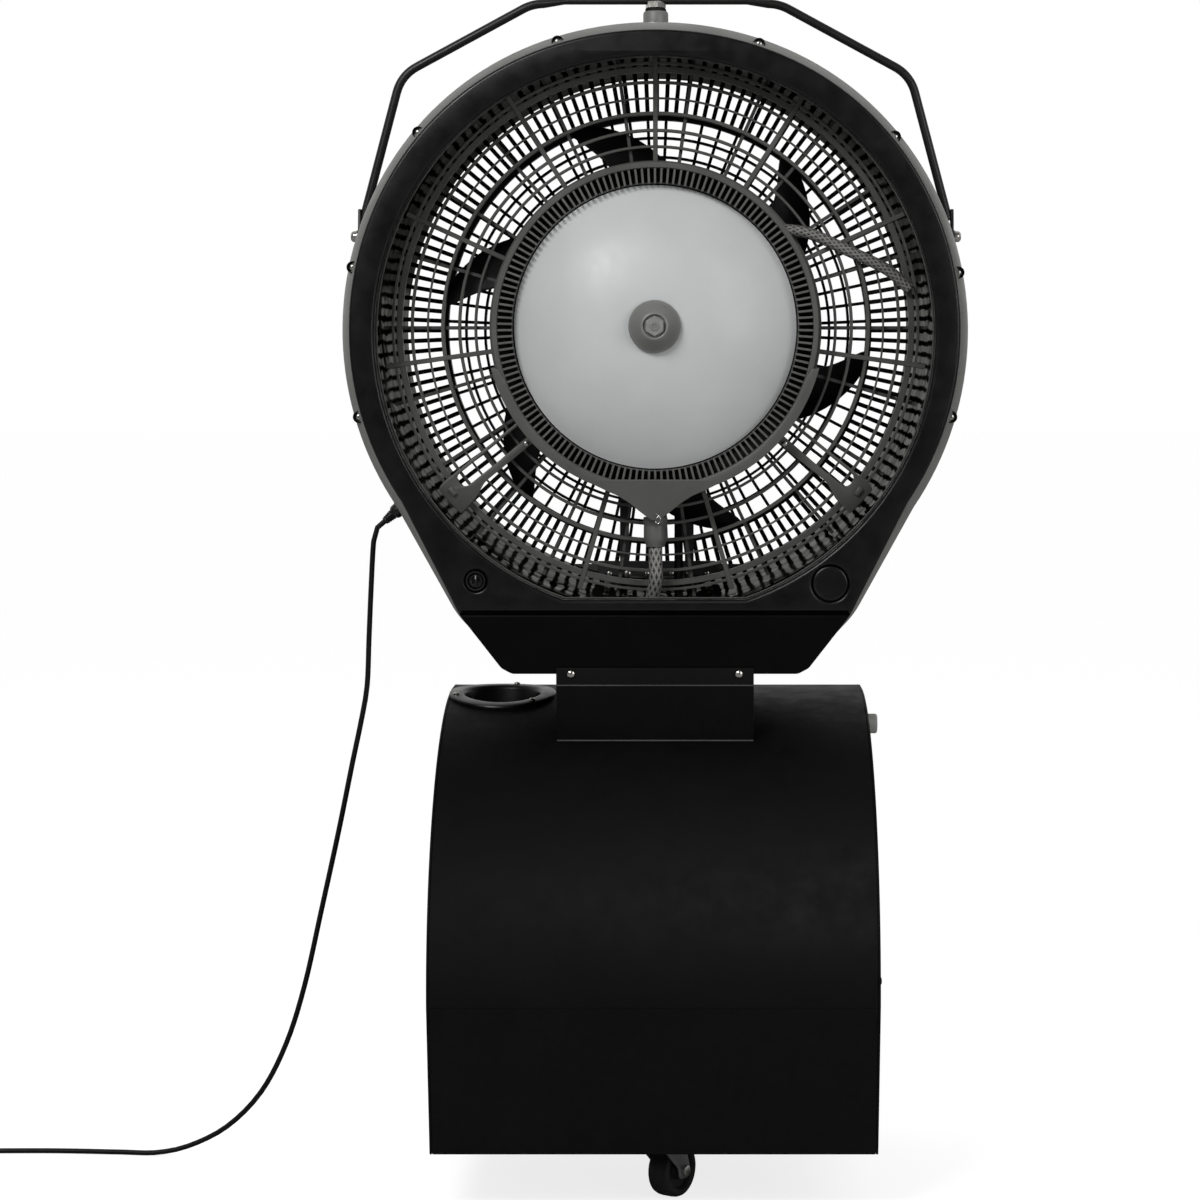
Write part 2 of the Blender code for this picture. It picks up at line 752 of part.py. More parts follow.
def make_comb():
    middle = dome_rim_y()
    ring(
        "comb_ring",
        COMB_INNER_RADIUS,
        COMB_OUTER_RADIUS,
        COMB_DEPTH,
        (0, middle, AXIS_Z),
        "Y",
        "grille_plastic",
        64,
    )
    edge = COMB_OUTER_RADIUS + 2 * GAP
    outer = edge + 0.009
    start = radians(-165)
    funnel = radians(-112)
    left_outer = arc(outer, start, funnel, 9)
    tip = [(-0.030, -0.2205), (-0.012, -0.2350), (-0.004, -COLLECTOR_REACH)]
    right = [(-x, z) for x, z in reversed([*left_outer, *tip])]
    inner = arc(edge, -pi - start, start, 36)
    outline = [*left_outer, *tip, *right, *inner]
    plate(
        "drip_collector",
        [outline],
        COLLECTOR_DEPTH,
        (0, middle - COMB_DEPTH / 2 + COLLECTOR_DEPTH / 2 + 0.006, AXIS_Z),
        "XZ",
        "grille_plastic",
    )


def make_arms():
    inner = COMB_INNER_RADIUS + 0.006
    depth = 0.014
    back = DOME_SETBACK + COMB_DEPTH / 2 + GAP
    outer = duct_radius(back + depth) - 0.003
    half = ARM_WIDTH / 2
    outline = [(inner, -half), (outer, -half), (outer, half), (inner, half)]
    slot_half = 0.006
    slot = [
        (inner + 0.020, -slot_half),
        (outer - 0.022, -slot_half),
        (outer - 0.016, 0),
        (outer - 0.022, slot_half),
        (inner + 0.020, slot_half),
        (inner + 0.014, 0),
    ]
    for name, angle in (("arm_right", ARM_ANGLE), ("arm_left", pi - ARM_ANGLE)):
        plate(
            name,
            [outline, slot],
            depth,
            (0, HEAD_FRONT + back + depth / 2, AXIS_Z),
            "XZ",
            "grille_plastic",
            angle,
        )


# ---------------------------------------------------------------- fan and motor
def blade(index):
    """One twisted, swept blade that narrows to its tip, thickened to both sides."""
    rows = []
    root = FAN_HUB_RADIUS - 0.010
    for station in range(9):
        share = sqrt(station / 8)
        radius = root + (FAN_RADIUS - root) * share
        chord = BLADE_CHORD * sqrt(max(BLADE_TIP_LEFT, 1 - share**6))
        pitch = BLADE_PITCH_ROOT + (BLADE_PITCH_TIP - BLADE_PITCH_ROOT) * share
        row = []
        for step in range(5):
            along = chord * (step / 4 - 0.5)
            angle = along * cos(pitch) / radius + BLADE_SWEEP * (radius / FAN_RADIUS) ** 3
            camber = 0.06 * chord * (1 - (2 * along / chord) ** 2)
            row.append((radius * cos(angle), radius * sin(angle), along * sin(pitch) + camber))
        rows.append(row)
    bm = bmesh.new()
    grid = [[bm.verts.new(point) for point in row] for row in rows]
    for near, far in zip(grid, grid[1:]):
        for step in range(4):
            bm.faces.new((near[step], far[step], far[step + 1], near[step + 1]))
    turn = Matrix.Rotation(pi / 2, 4, "X")
    spin = Matrix.Rotation(FAN_FIRST_BLADE + index * 2 * pi / FAN_BLADES, 4, "Z")
    obj = mesh_part(f"blade_{index}", bm, None)
    obj.matrix_world = Matrix.Translation((0, HEAD_FRONT + FAN_SETBACK, AXIS_Z)) @ turn @ spin
    thick = obj.modifiers.new("wall", "SOLIDIFY")
    thick.thickness = BLADE_THICKNESS
    thick.offset = 0
    return obj


def make_fan():
    hub = ring(
        "fan",
        SHAFT_RADIUS + RUN,
        FAN_HUB_RADIUS,
        FAN_HUB_LENGTH,
        (0, HEAD_FRONT + FAN_SETBACK, AXIS_Z),
        "Y",
        "fan_black",
        36,
    )
    for index in range(FAN_BLADES):
        combine(hub, blade(index), "UNION")


def make_motor():
    front = MOTOR_SETBACK
    rear = front + MOTOR_LENGTH
    seat = SHAFT_RADIUS + RUN
    wall = 0.010
    inner = MOTOR_RADIUS - MOTOR_WALL
    centre = (0, HEAD_FRONT, AXIS_Z)
    shell = [
        (seat, -front),
        (MOTOR_RADIUS * 0.86, -front),
        (MOTOR_RADIUS, -front - 0.010),
        (MOTOR_RADIUS, -rear),
        (inner, -rear),
        (inner, -front - wall - 0.002),
        (seat, -front - wall),
    ]
    turned("motor_shell", shell, centre, "Y", "motor_metal", 36)
    cap_thickness = wall
    cap_front = rear + GAP
    cap = [
        (seat, -cap_front),
        (MOTOR_RADIUS, -cap_front),
        (MOTOR_RADIUS, -cap_front - cap_thickness * 0.5),
        (MOTOR_RADIUS * 0.8, -cap_front - cap_thickness),
        (seat, -cap_front - cap_thickness),
    ]
    turned("motor_rear_cap", cap, centre, "Y", "motor_metal", 36)
    stator_outer = inner - GAP
    stator_inner = stator_outer * 0.62
    stack = MOTOR_LENGTH - wall - 0.010
    stack_middle = HEAD_FRONT + front + wall + 0.005 + stack / 2
    ring(
        "motor_stator",
        stator_inner,
        stator_outer,
        stack,
        (0, stack_middle, AXIS_Z),
        "Y",
        "steel",
        32,
    )
    ring(
        "motor_rotor_core",
        SHAFT_RADIUS + GAP,
        stator_inner - 0.0006,
        stack - 0.004,
        (0, stack_middle, AXIS_Z),
        "Y",
        "steel",
        32,
    )


def make_motor_stand():
    middle_back = MOTOR_SETBACK + MOTOR_LENGTH / 2
    y = HEAD_FRONT + middle_back
    half_span = (POST_SPACING + POST_WIDTH) / 2
    touch = MOTOR_RADIUS + GAP
    top = sqrt(touch**2 - half_span**2)
    saddle_base = touch + 0.022
    start = -pi / 2 + asin(half_span / touch)
    outline = [
        (-half_span, -saddle_base),
        (half_span, -saddle_base),
        *arc(touch, start, -pi - start, 10),
    ]
    plate("motor_saddle", [outline], 0.030, (0, y, AXIS_Z), "XZ", "motor_metal")
    duct = duct_radius(middle_back + POST_DEPTH / 2)
    foot = -sqrt(duct**2 - half_span**2) + 3 * GAP
    length = -saddle_base - GAP - foot
    for name, side in (("motor_post_left", -1), ("motor_post_right", 1)):
        box(
            name,
            (POST_WIDTH, POST_DEPTH, length),
            (side * POST_SPACING / 2, y, AXIS_Z + foot + length / 2),
            "motor_metal",
        )
    bar_half = 0.080
    bar_foot = -sqrt(duct**2 - bar_half**2) + 0.003
    bar_height = 0.020
    box(
        "motor_cross_bar",
        (2 * bar_half, 0.006, bar_height),
        (0, y - POST_DEPTH / 2 - 0.003 - GAP, AXIS_Z + bar_foot + bar_height / 2),
        "motor_metal",
        0.001,
    )
    return top


# ---------------------------------------------------------------- yoke
def yoke_y():
    return HEAD_FRONT + YOKE_SETBACK


def strap_z():
    """Middle of the yoke's flattened top strap."""
    return HEAD_Z + HEAD_RADIUS + YOKE_STACK - 0.0015


def make_yoke():
    y = yoke_y()
    top = strap_z() - 0.0045
    right = [
        (YOKE_TOP_HALF - 0.060, y, strap_z()),
        (YOKE_TOP_HALF - 0.035, y, top + 0.003),
        (YOKE_TOP_HALF, y, top),
        (YOKE_BEND[0] - 0.012, y, HEAD_Z + YOKE_BEND[1] + 0.012),
        (YOKE_BEND[0] + 0.003, y, HEAD_Z + YOKE_BEND[1] - 0.010),
        (YOKE_FOOT[0], y, HEAD_Z + YOKE_FOOT[1]),
    ]
    left = [(-x, yy, z) for x, yy, z in reversed(right)]
    yoke = as_mesh(tube("yoke", [*left, *right], YOKE_ROD_RADIUS, "rod_black", 3))
    strap = box(
        "yoke_strap",
        (2 * YOKE_TOP_HALF - 0.070, 2 * YOKE_ROD_RADIUS + 0.010, 0.003),
        (0, y, strap_z()),
        None,
    )
    ends = [strap]
    for side in (-1, 1):
        tab_top = HEAD_Z + YOKE_FOOT[1] + 0.004
        tab_base = HEAD_Z + YOKE_TAB_HEIGHT - 0.014
        ends.append(
            box(
                f"yoke_tab_{side}",
                (0.004, 0.022, tab_top - tab_base),
                (side * (YOKE_TAB_OFFSET - 0.004), y, (tab_top + tab_base) / 2),
                None,
            )
        )
        ends.append(
            box(
                f"yoke_knee_{side}",
                (0.014, 0.013, 0.012),
                (side * (YOKE_FOOT[0] + 0.005), y, HEAD_Z + YOKE_FOOT[1] + 0.001),
                None,
            )
        )
    slim = box(
        "yoke_strap_relief",
        (2 * YOKE_TOP_HALF - 0.130, 0.05, 0.02),
        (0, y, strap_z() - 0.0115),
        None,
    )
    above = box(
        "yoke_strap_top",
        (2 * YOKE_TOP_HALF + 0.020, 0.05, 0.02),
        (0, y, strap_z() + 0.0115),
        None,
    )
    cut(yoke, slim)
    cut(yoke, above)
    for end in ends:
        combine(yoke, end, "UNION")
    cut(yoke, cylinder("yoke_stud_hole", 0.0063, 0.03, (0, y, strap_z()), "Z", None, 16))
    for side in (-1, 1):
        cut(
            yoke,
            cylinder(
                f"yoke_bolt_hole_{side}",
                0.0043,
                0.03,
                (side * (YOKE_TAB_OFFSET - 0.004), y, HEAD_Z + YOKE_TAB_HEIGHT),
                "X",
                None,
                16,
            ),
        )


def make_yoke_fixings():
    y = yoke_y()
    casing_top = HEAD_Z + HEAD_RADIUS
    bush_base = casing_top + GAP
    bush_top = bush_base + BUSH_HEIGHT
    collar_base = bush_top + WASHER_HEIGHT
    collar_top = strap_z() - 0.0015 - GAP
    stud_radius = 0.0060
    ring("yoke_bush", stud_radius + GAP, 0.0165, BUSH_HEIGHT, (0, y, (bush_base + bush_top) / 2),
         "Z", "casing_grey", 28)
    stud_top = strap_z() + 0.0015
    stud_base = casing_top - 0.022
    stud = cylinder("yoke_stud", stud_radius, stud_top - stud_base,
                    (0, y, (stud_top + stud_base) / 2), "Z", "zinc", 16)
    collar = cylinder("stud_collar", 0.0140, collar_top - collar_base,
                      (0, y, (collar_top + collar_base) / 2), "Z", None, 6)
    combine(stud, collar, "UNION")
    for name, side in (("yoke_bolt_left", -1), ("yoke_bolt_right", 1)):
        shank = 0.0040
        inner = HEAD_RADIUS * 0.90
        head_face = YOKE_TAB_OFFSET - 0.002 + GAP
        profile = [
            (0.0, head_face + 0.0085 - inner),
            (0.0045, head_face + 0.0075 - inner),
            (0.0075, head_face + 0.0040 - inner),
            (0.0075, head_face - inner),
            (shank, head_face - inner),
            (shank, 0.0),
            (0.0, 0.0),
        ]
        bolt = turned(name, profile, (side * inner, y, HEAD_Z + YOKE_TAB_HEIGHT), "X", "zinc", 16)
        if side < 0:
            bolt.rotation_euler = (0, -pi / 2, 0)


# ---------------------------------------------------------------- neck
def neck_front_y():
    """Front face of the neck's flange, which laps over the skirt cover."""
    return HEAD_FRONT - GAP - SHEET


def make_neck():
    flange_top = HEAD_BASE + NECK_LAP
    bend = flange_top - NECK_FLANGE
    lower_y = HEAD_FRONT + 0.025
    lower_z = skin_height(lower_y - SHEET, GAP) + 0.0015
    front = neck_front_y()
    profile = [
        (front, flange_top),
        (front, bend),
        (lower_y - SHEET, lower_z),
        (lower_y, lower_z + 0.003),
        (front + SHEET, bend + 0.0006),
        (front + SHEET, flange_top),
    ]
    plate("neck_plate", [profile], NECK_WIDTH, (0, 0, 0), "YZ", "sheet_black")
    cheek_front = HEAD_FRONT + 0.034
    cheek_back = cheek_front + NECK_CHEEK_DEPTH
    top = HEAD_BASE - GAP
    count = 8
    foot = []
    for step in range(count + 1):
        y = cheek_front + (cheek_back - cheek_front) * step / count
        foot.append((y, skin_height(y, GAP) + 0.0004))
    outline = [*foot, (cheek_back, top), (cheek_front, top)]
    for name, side in (("neck_cheek_left", -1), ("neck_cheek_right", 1)):
        place = (side * (NECK_WIDTH / 2 - 0.012), 0, 0)
        plate(name, [outline], SHEET, place, "YZ", "sheet_black")


# ---------------------------------------------------------------- cabinet
def make_cabinet():
    outer = skin_profile()
    inner = skin_profile(SHEET)
    wrap = [*outer, *reversed(inner)]
    width = CABINET_WIDTH - 2 * SHEET - 2 * GAP
    skin = as_mesh(plate("cabinet_skin", [wrap], width, (0, 0, 0), "YZ", "sheet_black"))
    back_y = CABINET_BACK - SHEET
    filler_y = CREASE_Y + FILLER_PLACE[1]
    hole = cylinder(
        "filler_hole",
        FILLER_BORE + GAP,
        0.08,
        (FILLER_PLACE[0], filler_y, skin_height(filler_y)),
        "Z",
        None,
        28,
    )
    hole.rotation_euler = (skin_slope(filler_y), 0, 0)
    hoses = box(
        "skin_hose_slot",
        (0.10, 0.06, 0.12),
        (0, HEAD_FRONT + 0.120, skin_height(HEAD_FRONT + 0.120)),
        None,
    )
    cut(skin, hole)
    cut(skin, hoses)
    side_outline = [*outer, (CABINET_BACK, CABINET_BOTTOM)]
    valve_y = CREASE_Y + FLOW_KNOB_PLACE[0]
    valve_hole = arc(0.006, 0, 2 * pi, 16, (valve_y, CABINET_TOP - FLOW_KNOB_PLACE[1]))[:-1]
    centre = CABINET_WIDTH / 2 - SHEET / 2
    plate("cabinet_side_right", [side_outline, valve_hole], SHEET, (centre, 0, 0), "YZ",
          "sheet_black")
    plate("cabinet_side_left", [side_outline], SHEET, (-centre, 0, 0), "YZ",
          "sheet_black")
    height = CABINET_TOP - SHEET - GAP - CABINET_BOTTOM
    box(
        "cabinet_back",
        (width, SHEET, height),
        (0, back_y + SHEET / 2, CABINET_BOTTOM + height / 2),
        "sheet_black",
    )
    pan_front = CREASE_Y + LOWER_RAKE + SHEET + 0.002
    pan_back = back_y - GAP
    box(
        "base_pan",
        (width - 0.002, pan_back - pan_front, PAN_THICKNESS),
        (0, (pan_front + pan_back) / 2, PAN_HEIGHT + PAN_THICKNESS / 2),
        "sheet_black",
    )


def filler_frame():
    """Where the filler ring sits on the curved top, with +Z along the surface's normal."""
    y = CREASE_Y + FILLER_PLACE[1]
    return (
        Matrix.Translation((FILLER_PLACE[0], y, skin_height(y)))
        @ Matrix.Rotation(skin_slope(y), 4, "X")
    )


def make_filler():
    frame = filler_frame()
    seat = 0.0042
    bore = FILLER_BORE - 0.003
    throat = FILLER_BORE - 0.001
    profile = [
        (bore, seat + FILLER_THICKNESS),
        (FILLER_RADIUS - 0.001, seat + FILLER_THICKNESS),
        (FILLER_RADIUS, seat + FILLER_THICKNESS - 0.001),
        (FILLER_RADIUS, seat),
        (throat, seat),
        (throat, -FILLER_THROAT),
        (bore, -FILLER_THROAT),
    ]
    funnel = turned("filler_ring", profile, (0, 0, 0), "Z", "casing_black", 40)
    funnel.matrix_world = frame


def make_tank():
    width = CABINET_WIDTH - 2 * TANK_SIDE_ROOM
    height = TANK_RIM - TANK_BASE
    bm = bmesh.new()
    bmesh.ops.create_cube(bm, size=1.0)
    bmesh.ops.scale(bm, vec=(width, TANK_DEPTH, height), verts=bm.verts)
    lid = [face for face in bm.faces if face.normal.z > 0.5]
    bmesh.ops.delete(bm, geom=lid, context="FACES_ONLY")
    middle_y = CREASE_Y + TANK_SETBACK + TANK_DEPTH / 2
    tank = mesh_part("water_tank", bm, "tank_plastic", (0, middle_y, TANK_BASE + height / 2))
    wall = tank.modifiers.new("wall", "SOLIDIFY")
    wall.thickness = TANK_WALL
    wall.offset = -1
    wall.use_even_offset = True
    pump_size = (0.070, 0.060, 0.060)
    pump_base = TANK_BASE + TANK_WALL + GAP
    box("pump", pump_size, (0.120, middle_y, pump_base + pump_size[2] / 2), "rubber", 0.004)
    hose_y = HEAD_FRONT + HOSE_SETBACK
    feed_x = 0.030
    route = [
        (0.120, middle_y, pump_base + pump_size[2] + GAP),
        (0.120, middle_y, pump_base + 0.120),
        (0.100, middle_y + 0.010, pump_base + 0.240),
        (0.050, hose_y, CABINET_TOP - 0.120),
        (feed_x, hose_y, CABINET_TOP - 0.020),
        (feed_x, hose_y, HEAD_BASE + 0.020),
        (feed_x, hose_y, AXIS_Z - DUCT_FRONT_RADIUS),
        (feed_x, hose_y, AXIS_Z - 0.150),
        (feed_x, hose_y - 0.004, AXIS_Z - 0.080),
        (feed_x, hose_y - 0.020, AXIS_Z - 0.050),
        (feed_x, dome_rim_y() + 0.010, AXIS_Z - 0.040),
    ]
    tube("feed_hose", through_curve(route, 0.035), HOSE_RADIUS, "rubber")


def make_flow_valve():
    y = CREASE_Y + FLOW_KNOB_PLACE[0]
    z = CABINET_TOP - FLOW_KNOB_PLACE[1]
    wall = CABINET_WIDTH / 2
    knob = [
        (0.0, FLOW_KNOB_REACH),
        (FLOW_KNOB_RADIUS * 0.86, FLOW_KNOB_REACH),
        (FLOW_KNOB_RADIUS, FLOW_KNOB_REACH - 0.002),
        (FLOW_KNOB_RADIUS, 0.001),
        (0.0050, 0.001),
        (0.0050, -SHEET - 0.004),
        (0.0, -SHEET - 0.004),
    ]
    turned("flow_knob", knob, (wall, y, z), "X", "light_plastic", 24)


def make_control():
    """The round control on the front ring: a fixed socket and the knob that turns in it."""
    x, z = CONTROL_PLACE
    socket_front = 0.0030
    wall = 0.0026
    outer = 0.0130
    depth = BEZEL_DEPTH - 0.004
    profile = [
        (0.0, -depth + 0.006),
        (outer - wall, -depth + 0.006),
        (outer - wall, socket_front),
        (outer, socket_front),
        (outer, -depth),
        (0.0, -depth),
    ]
    turned("control_socket", profile, (x, HEAD_FRONT, HEAD_Z + z), "Y", "casing_black", 24)
    knob_length = 0.017
    cylinder(
        "control_knob",
        outer - wall - 0.0008,
        knob_length,
        (x, HEAD_FRONT + depth - 0.006 - GAP - knob_length / 2, HEAD_Z + z),
        "Y",
        "casing_black",
        20,
    )


# ---------------------------------------------------------------- wheels
def wheel_profile():
    half = WHEEL_WIDTH / 2
    bore = 0.0040 + RUN
    return [
        (bore, half - 0.003),
        (WHEEL_RADIUS * 0.74, half),
        (WHEEL_RADIUS - 0.004, half),
        (WHEEL_RADIUS, 0.006),
        (WHEEL_RADIUS, -0.006),
        (WHEEL_RADIUS - 0.004, -half),
        (WHEEL_RADIUS * 0.74, -half),
        (bore, -half + 0.003),
    ]


def wheel_and_axle(label, centre, turn, finish):
    """A wheel and its axle; turn is the angle of the axle from +X about +Z."""
    spin = Matrix.Translation(centre) @ Matrix.Rotation(turn, 4, "Z")
    lay = Matrix.Rotation(pi / 2, 4, "Y")
    wheel = turned(f"{label}_wheel", wheel_profile(), (0, 0, 0), "Z", "caster_wheel", 28)
    wheel.matrix_world = spin @ lay
    reach = WHEEL_WIDTH / 2 + 0.0052
    head = [(0.0, reach + 0.0045), (0.0070, reach + 0.0045), (0.0070, reach), (0.0040, reach)]
    shank = [(0.0040, -reach), (0.0, -reach)]
    axle = turned(f"{label}_axle", [*head, *shank], (0, 0, 0), "Z", finish, 12)
    axle.matrix_world = spin @ lay
    return axle


def fork_sides(label, centre, turn, trail, top):
    """Fork of one bent plate: a crown and two legs that taper to the axle."""
    inner = WHEEL_WIDTH / 2 + 0.0020
    wall = 0.0028
    leg = [
        (-0.0095, -0.0085),
        (0.0095, -0.0085),
        (0.0120, 0.0),
        (-trail + 0.026, top - wall),
        (-trail - 0.026, top - wall),
        (-0.0120, 0.0),
    ]
    fit = GAP if trail else -0.0005
    hole = arc(0.0040 + fit, 0, 2 * pi, 12)[:-1]
    fork = box(f"{label}_fork", (2 * (inner + wall), 0.052, wall), (0, 0, 0),
               "zinc")
    fork.matrix_world = (
        Matrix.Translation(centre)
        @ Matrix.Rotation(turn, 4, "Z")
        @ Matrix.Translation((0, -trail, top - wall / 2))
    )
    for side in (-1, 1):
        cheek = as_mesh(plate(f"{label}_fork_leg_{side}", [leg, hole], wall, (0, 0, 0), "YZ",
                              None))
        cheek.matrix_world = (
            Matrix.Translation(centre)
            @ Matrix.Rotation(turn, 4, "Z")
            @ Matrix.Translation((side * (inner + wall / 2), 0, 0.0002))
            @ Matrix.Rotation(pi / 2, 4, "Z")
            @ Matrix.Rotation(pi / 2, 4, "X")
        )
        combine(fork, cheek, "UNION")
    return fork


def make_wheels():
    top = PAN_HEIGHT - GAP
    plate_thickness = 0.003
    bearing_height = 0.008
    crown = top - plate_thickness - bearing_height - GAP
    pivot = Vector((CASTER_PLACE[0], CREASE_Y + CASTER_PLACE[1], 0))
    behind = Vector((-sin(CASTER_TURN), cos(CASTER_TURN), 0))
    centre = pivot + behind * CASTER_TRAIL
    centre.z = WHEEL_RADIUS
    wheel_and_axle("front", centre, CASTER_TURN, "zinc")
    fork_sides("front", centre, CASTER_TURN, CASTER_TRAIL, crown - WHEEL_RADIUS)
    base = box("front_caster_plate", (0.070, 0.070, plate_thickness),
               (pivot.x, pivot.y, top - plate_thickness / 2), "zinc")
    race = cylinder("caster_race", 0.021, bearing_height + 0.001,
                    (pivot.x, pivot.y, top - plate_thickness - bearing_height / 2 + 0.0005),
                    "Z", None, 24)
    combine(base, race, "UNION")
    for label, side in (("rear_left", -1), ("rear_right", 1)):
        place = Vector((
            side * (CABINET_WIDTH / 2 - REAR_WHEEL_INSET),
            CREASE_Y + REAR_WHEEL_SETBACK,
            WHEEL_RADIUS,
        ))
        axle = wheel_and_axle(label, place, 0.0 if side > 0 else pi, None)
        fork = fork_sides(label, place, 0.0, 0.0, top - WHEEL_RADIUS)
        combine(fork, axle, "UNION")


# ---------------------------------------------------------------- hoses and cables in the head
def make_head_hoses():
    sleeve_top = AXIS_Z - COLLECTOR_REACH - GAP
    y = dome_rim_y() + 0.008
    profile = [
        (0.0, 0.0),
        (0.0180, 0.0),
        (0.0185, -0.012),
        (0.0120, -0.033),
        (0.0120, -0.039),
        (0.0, -0.039),
    ]
    turned("drain_boot", profile, (0, y, sleeve_top), "Z", "rubber", 24)
    hose_top = sleeve_top - 0.039 - GAP
    hose_y = HEAD_FRONT + HOSE_SETBACK
    hose_x = -0.022
    route = [
        (0, y, hose_top),
        (0, y, hose_top - 0.020),
        (0, y + 0.003, hose_top - 0.045),
        (-0.008, y + 0.022, hose_top - 0.080),
        (hose_x, hose_y, HEAD_BASE + 0.020),
        (hose_x, hose_y, CABINET_TOP - 0.040),
        (hose_x - 0.010, hose_y, CABINET_TOP - 0.120),
        (hose_x - 0.020, hose_y, TANK_RIM - 0.0463),
    ]
    tube("drain_hose", through_curve(route, 0.030), DRAIN_RADIUS, "braid")
    lead = [
        (0.160, HEAD_FRONT + 0.0875, AXIS_Z + 0.128),
        (0.200, HEAD_FRONT + 0.0860, AXIS_Z + 0.122),
        (0.250, HEAD_FRONT + 0.0860, AXIS_Z + 0.100),
        (0.300, HEAD_FRONT + 0.0870, AXIS_Z + 0.076),
        (0.3310, HEAD_FRONT + 0.0870, AXIS_Z + 0.050),
    ]
    tube("motor_lead", through_curve(lead, 0.022), 0.0055, "braid")


# ---------------------------------------------------------------- power cord
def gland_line():
    """A point on the casing's slanted side and the way out of it."""
    x, setback, rise = GLAND_PLACE
    return Vector((x, HEAD_FRONT + setback, HEAD_BASE + rise)), Vector((-0.757, 0, -0.653)).normalized()


def make_gland():
    start, along = gland_line()
    length = 0.030
    profile = [
        (0.0, length),
        (0.0050, length),
        (0.0060, 0.018),
        (0.0095, 0.013),
        (0.0095, 0.0045),
        (0.0062, 0.0045),
        (0.0062, -0.012),
        (0.0, -0.012),
    ]
    gland = turned("cord_gland", profile, (0, 0, 0), "Z", "rubber", 20)
    gland.matrix_world = Matrix.Translation(start) @ along.to_track_quat("Z", "Y").to_matrix().to_4x4()
    return start + along * (length + GAP), along


def make_cord():
    exit_point, along = make_gland()
    route = [exit_point, exit_point + along * 0.006, *[Vector(point) for point in CORD_ROUTE]]
    tube("power_cord", through_curve(route, 0.019), CORD_RADIUS, "cord_black", 2)
    x, y = COIL_CENTRE
    ring("cord_coil", COIL_RADIUS - COIL_WIDTH / 2, COIL_RADIUS + COIL_WIDTH / 2, COIL_HEIGHT,
         (x, y, COIL_HEIGHT / 2 + 0.0002), "Z", "cord_black", 36)
    plug_x = x - COIL_RADIUS
    outside = COIL_RADIUS + COIL_WIDTH / 2
    relief_start = y + sqrt(outside**2 - (COIL_RADIUS - RELIEF_TIP) ** 2) + GAP
    plug_start = relief_start + RELIEF_LENGTH
    middle = PLUG_HEIGHT / 2 + 0.0002
    body = box("power_plug", (PLUG_WIDTH, PLUG_LENGTH, PLUG_HEIGHT),
               (plug_x, plug_start + PLUG_LENGTH / 2, middle), "cord_black", 0.003)
    buried = RELIEF_LENGTH + 0.002
    profile = [(0.0, buried), (RELIEF_ROOT, buried), (RELIEF_TIP, 0.0), (0.0, 0.0)]
    relief = turned("plug_relief", profile, (0, 0, 0), "Z", None, 16)
    relief.matrix_world = (Matrix.Translation((plug_x, relief_start, middle))
                           @ Matrix.Rotation(-pi / 2, 4, "X"))
    combine(body, relief, "UNION")
    for side in (-1, 1):
        pin = cylinder(
            f"plug_pin_{side}",
            0.0022,
            0.026,
            (plug_x + side * 0.0095, plug_start + PLUG_LENGTH + 0.005, middle),
            "Y",
            None,
            12,
        )
        combine(body, pin, "UNION")


make_housing()
make_bezel()
make_duct()
make_front_grille()
make_rear_grille()
make_dome()
make_rotor_front()
make_comb()
make_arms()
make_fan()
make_motor()
make_motor_stand()
make_yoke()
make_yoke_fixings()
make_neck()
make_cabinet()
make_filler()
make_tank()
make_flow_valve()
make_control()
make_wheels()
make_head_hoses()
make_cord()
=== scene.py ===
"""Looks of the mobile misting fan: casings, grilles, atomiser, fan, yoke, cart, hoses and cord.

Metres, +Z up, the air blows towards -Y.  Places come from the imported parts' boxes.
"""

from math import acos, asin, atan2, cos, hypot, pi, radians, sin, sqrt

import bpy
from mathutils import Matrix, Vector


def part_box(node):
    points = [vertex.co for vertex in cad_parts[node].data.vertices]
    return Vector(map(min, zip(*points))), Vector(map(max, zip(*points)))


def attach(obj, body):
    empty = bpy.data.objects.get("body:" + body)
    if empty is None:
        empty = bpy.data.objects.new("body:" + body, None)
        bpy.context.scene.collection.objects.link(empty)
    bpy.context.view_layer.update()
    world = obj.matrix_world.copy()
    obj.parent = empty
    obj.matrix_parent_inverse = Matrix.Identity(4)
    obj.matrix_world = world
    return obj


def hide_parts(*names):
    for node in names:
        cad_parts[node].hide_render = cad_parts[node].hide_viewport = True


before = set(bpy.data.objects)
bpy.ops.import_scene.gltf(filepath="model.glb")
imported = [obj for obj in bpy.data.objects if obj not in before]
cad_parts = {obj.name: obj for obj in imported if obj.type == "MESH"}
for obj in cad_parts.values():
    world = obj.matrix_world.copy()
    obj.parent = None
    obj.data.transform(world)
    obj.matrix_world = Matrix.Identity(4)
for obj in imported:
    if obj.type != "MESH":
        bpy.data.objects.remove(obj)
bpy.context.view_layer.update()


# ---------------------------------------------------------------- places and sizes
def middle(node):
    low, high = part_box(node)
    return (low + high) / 2


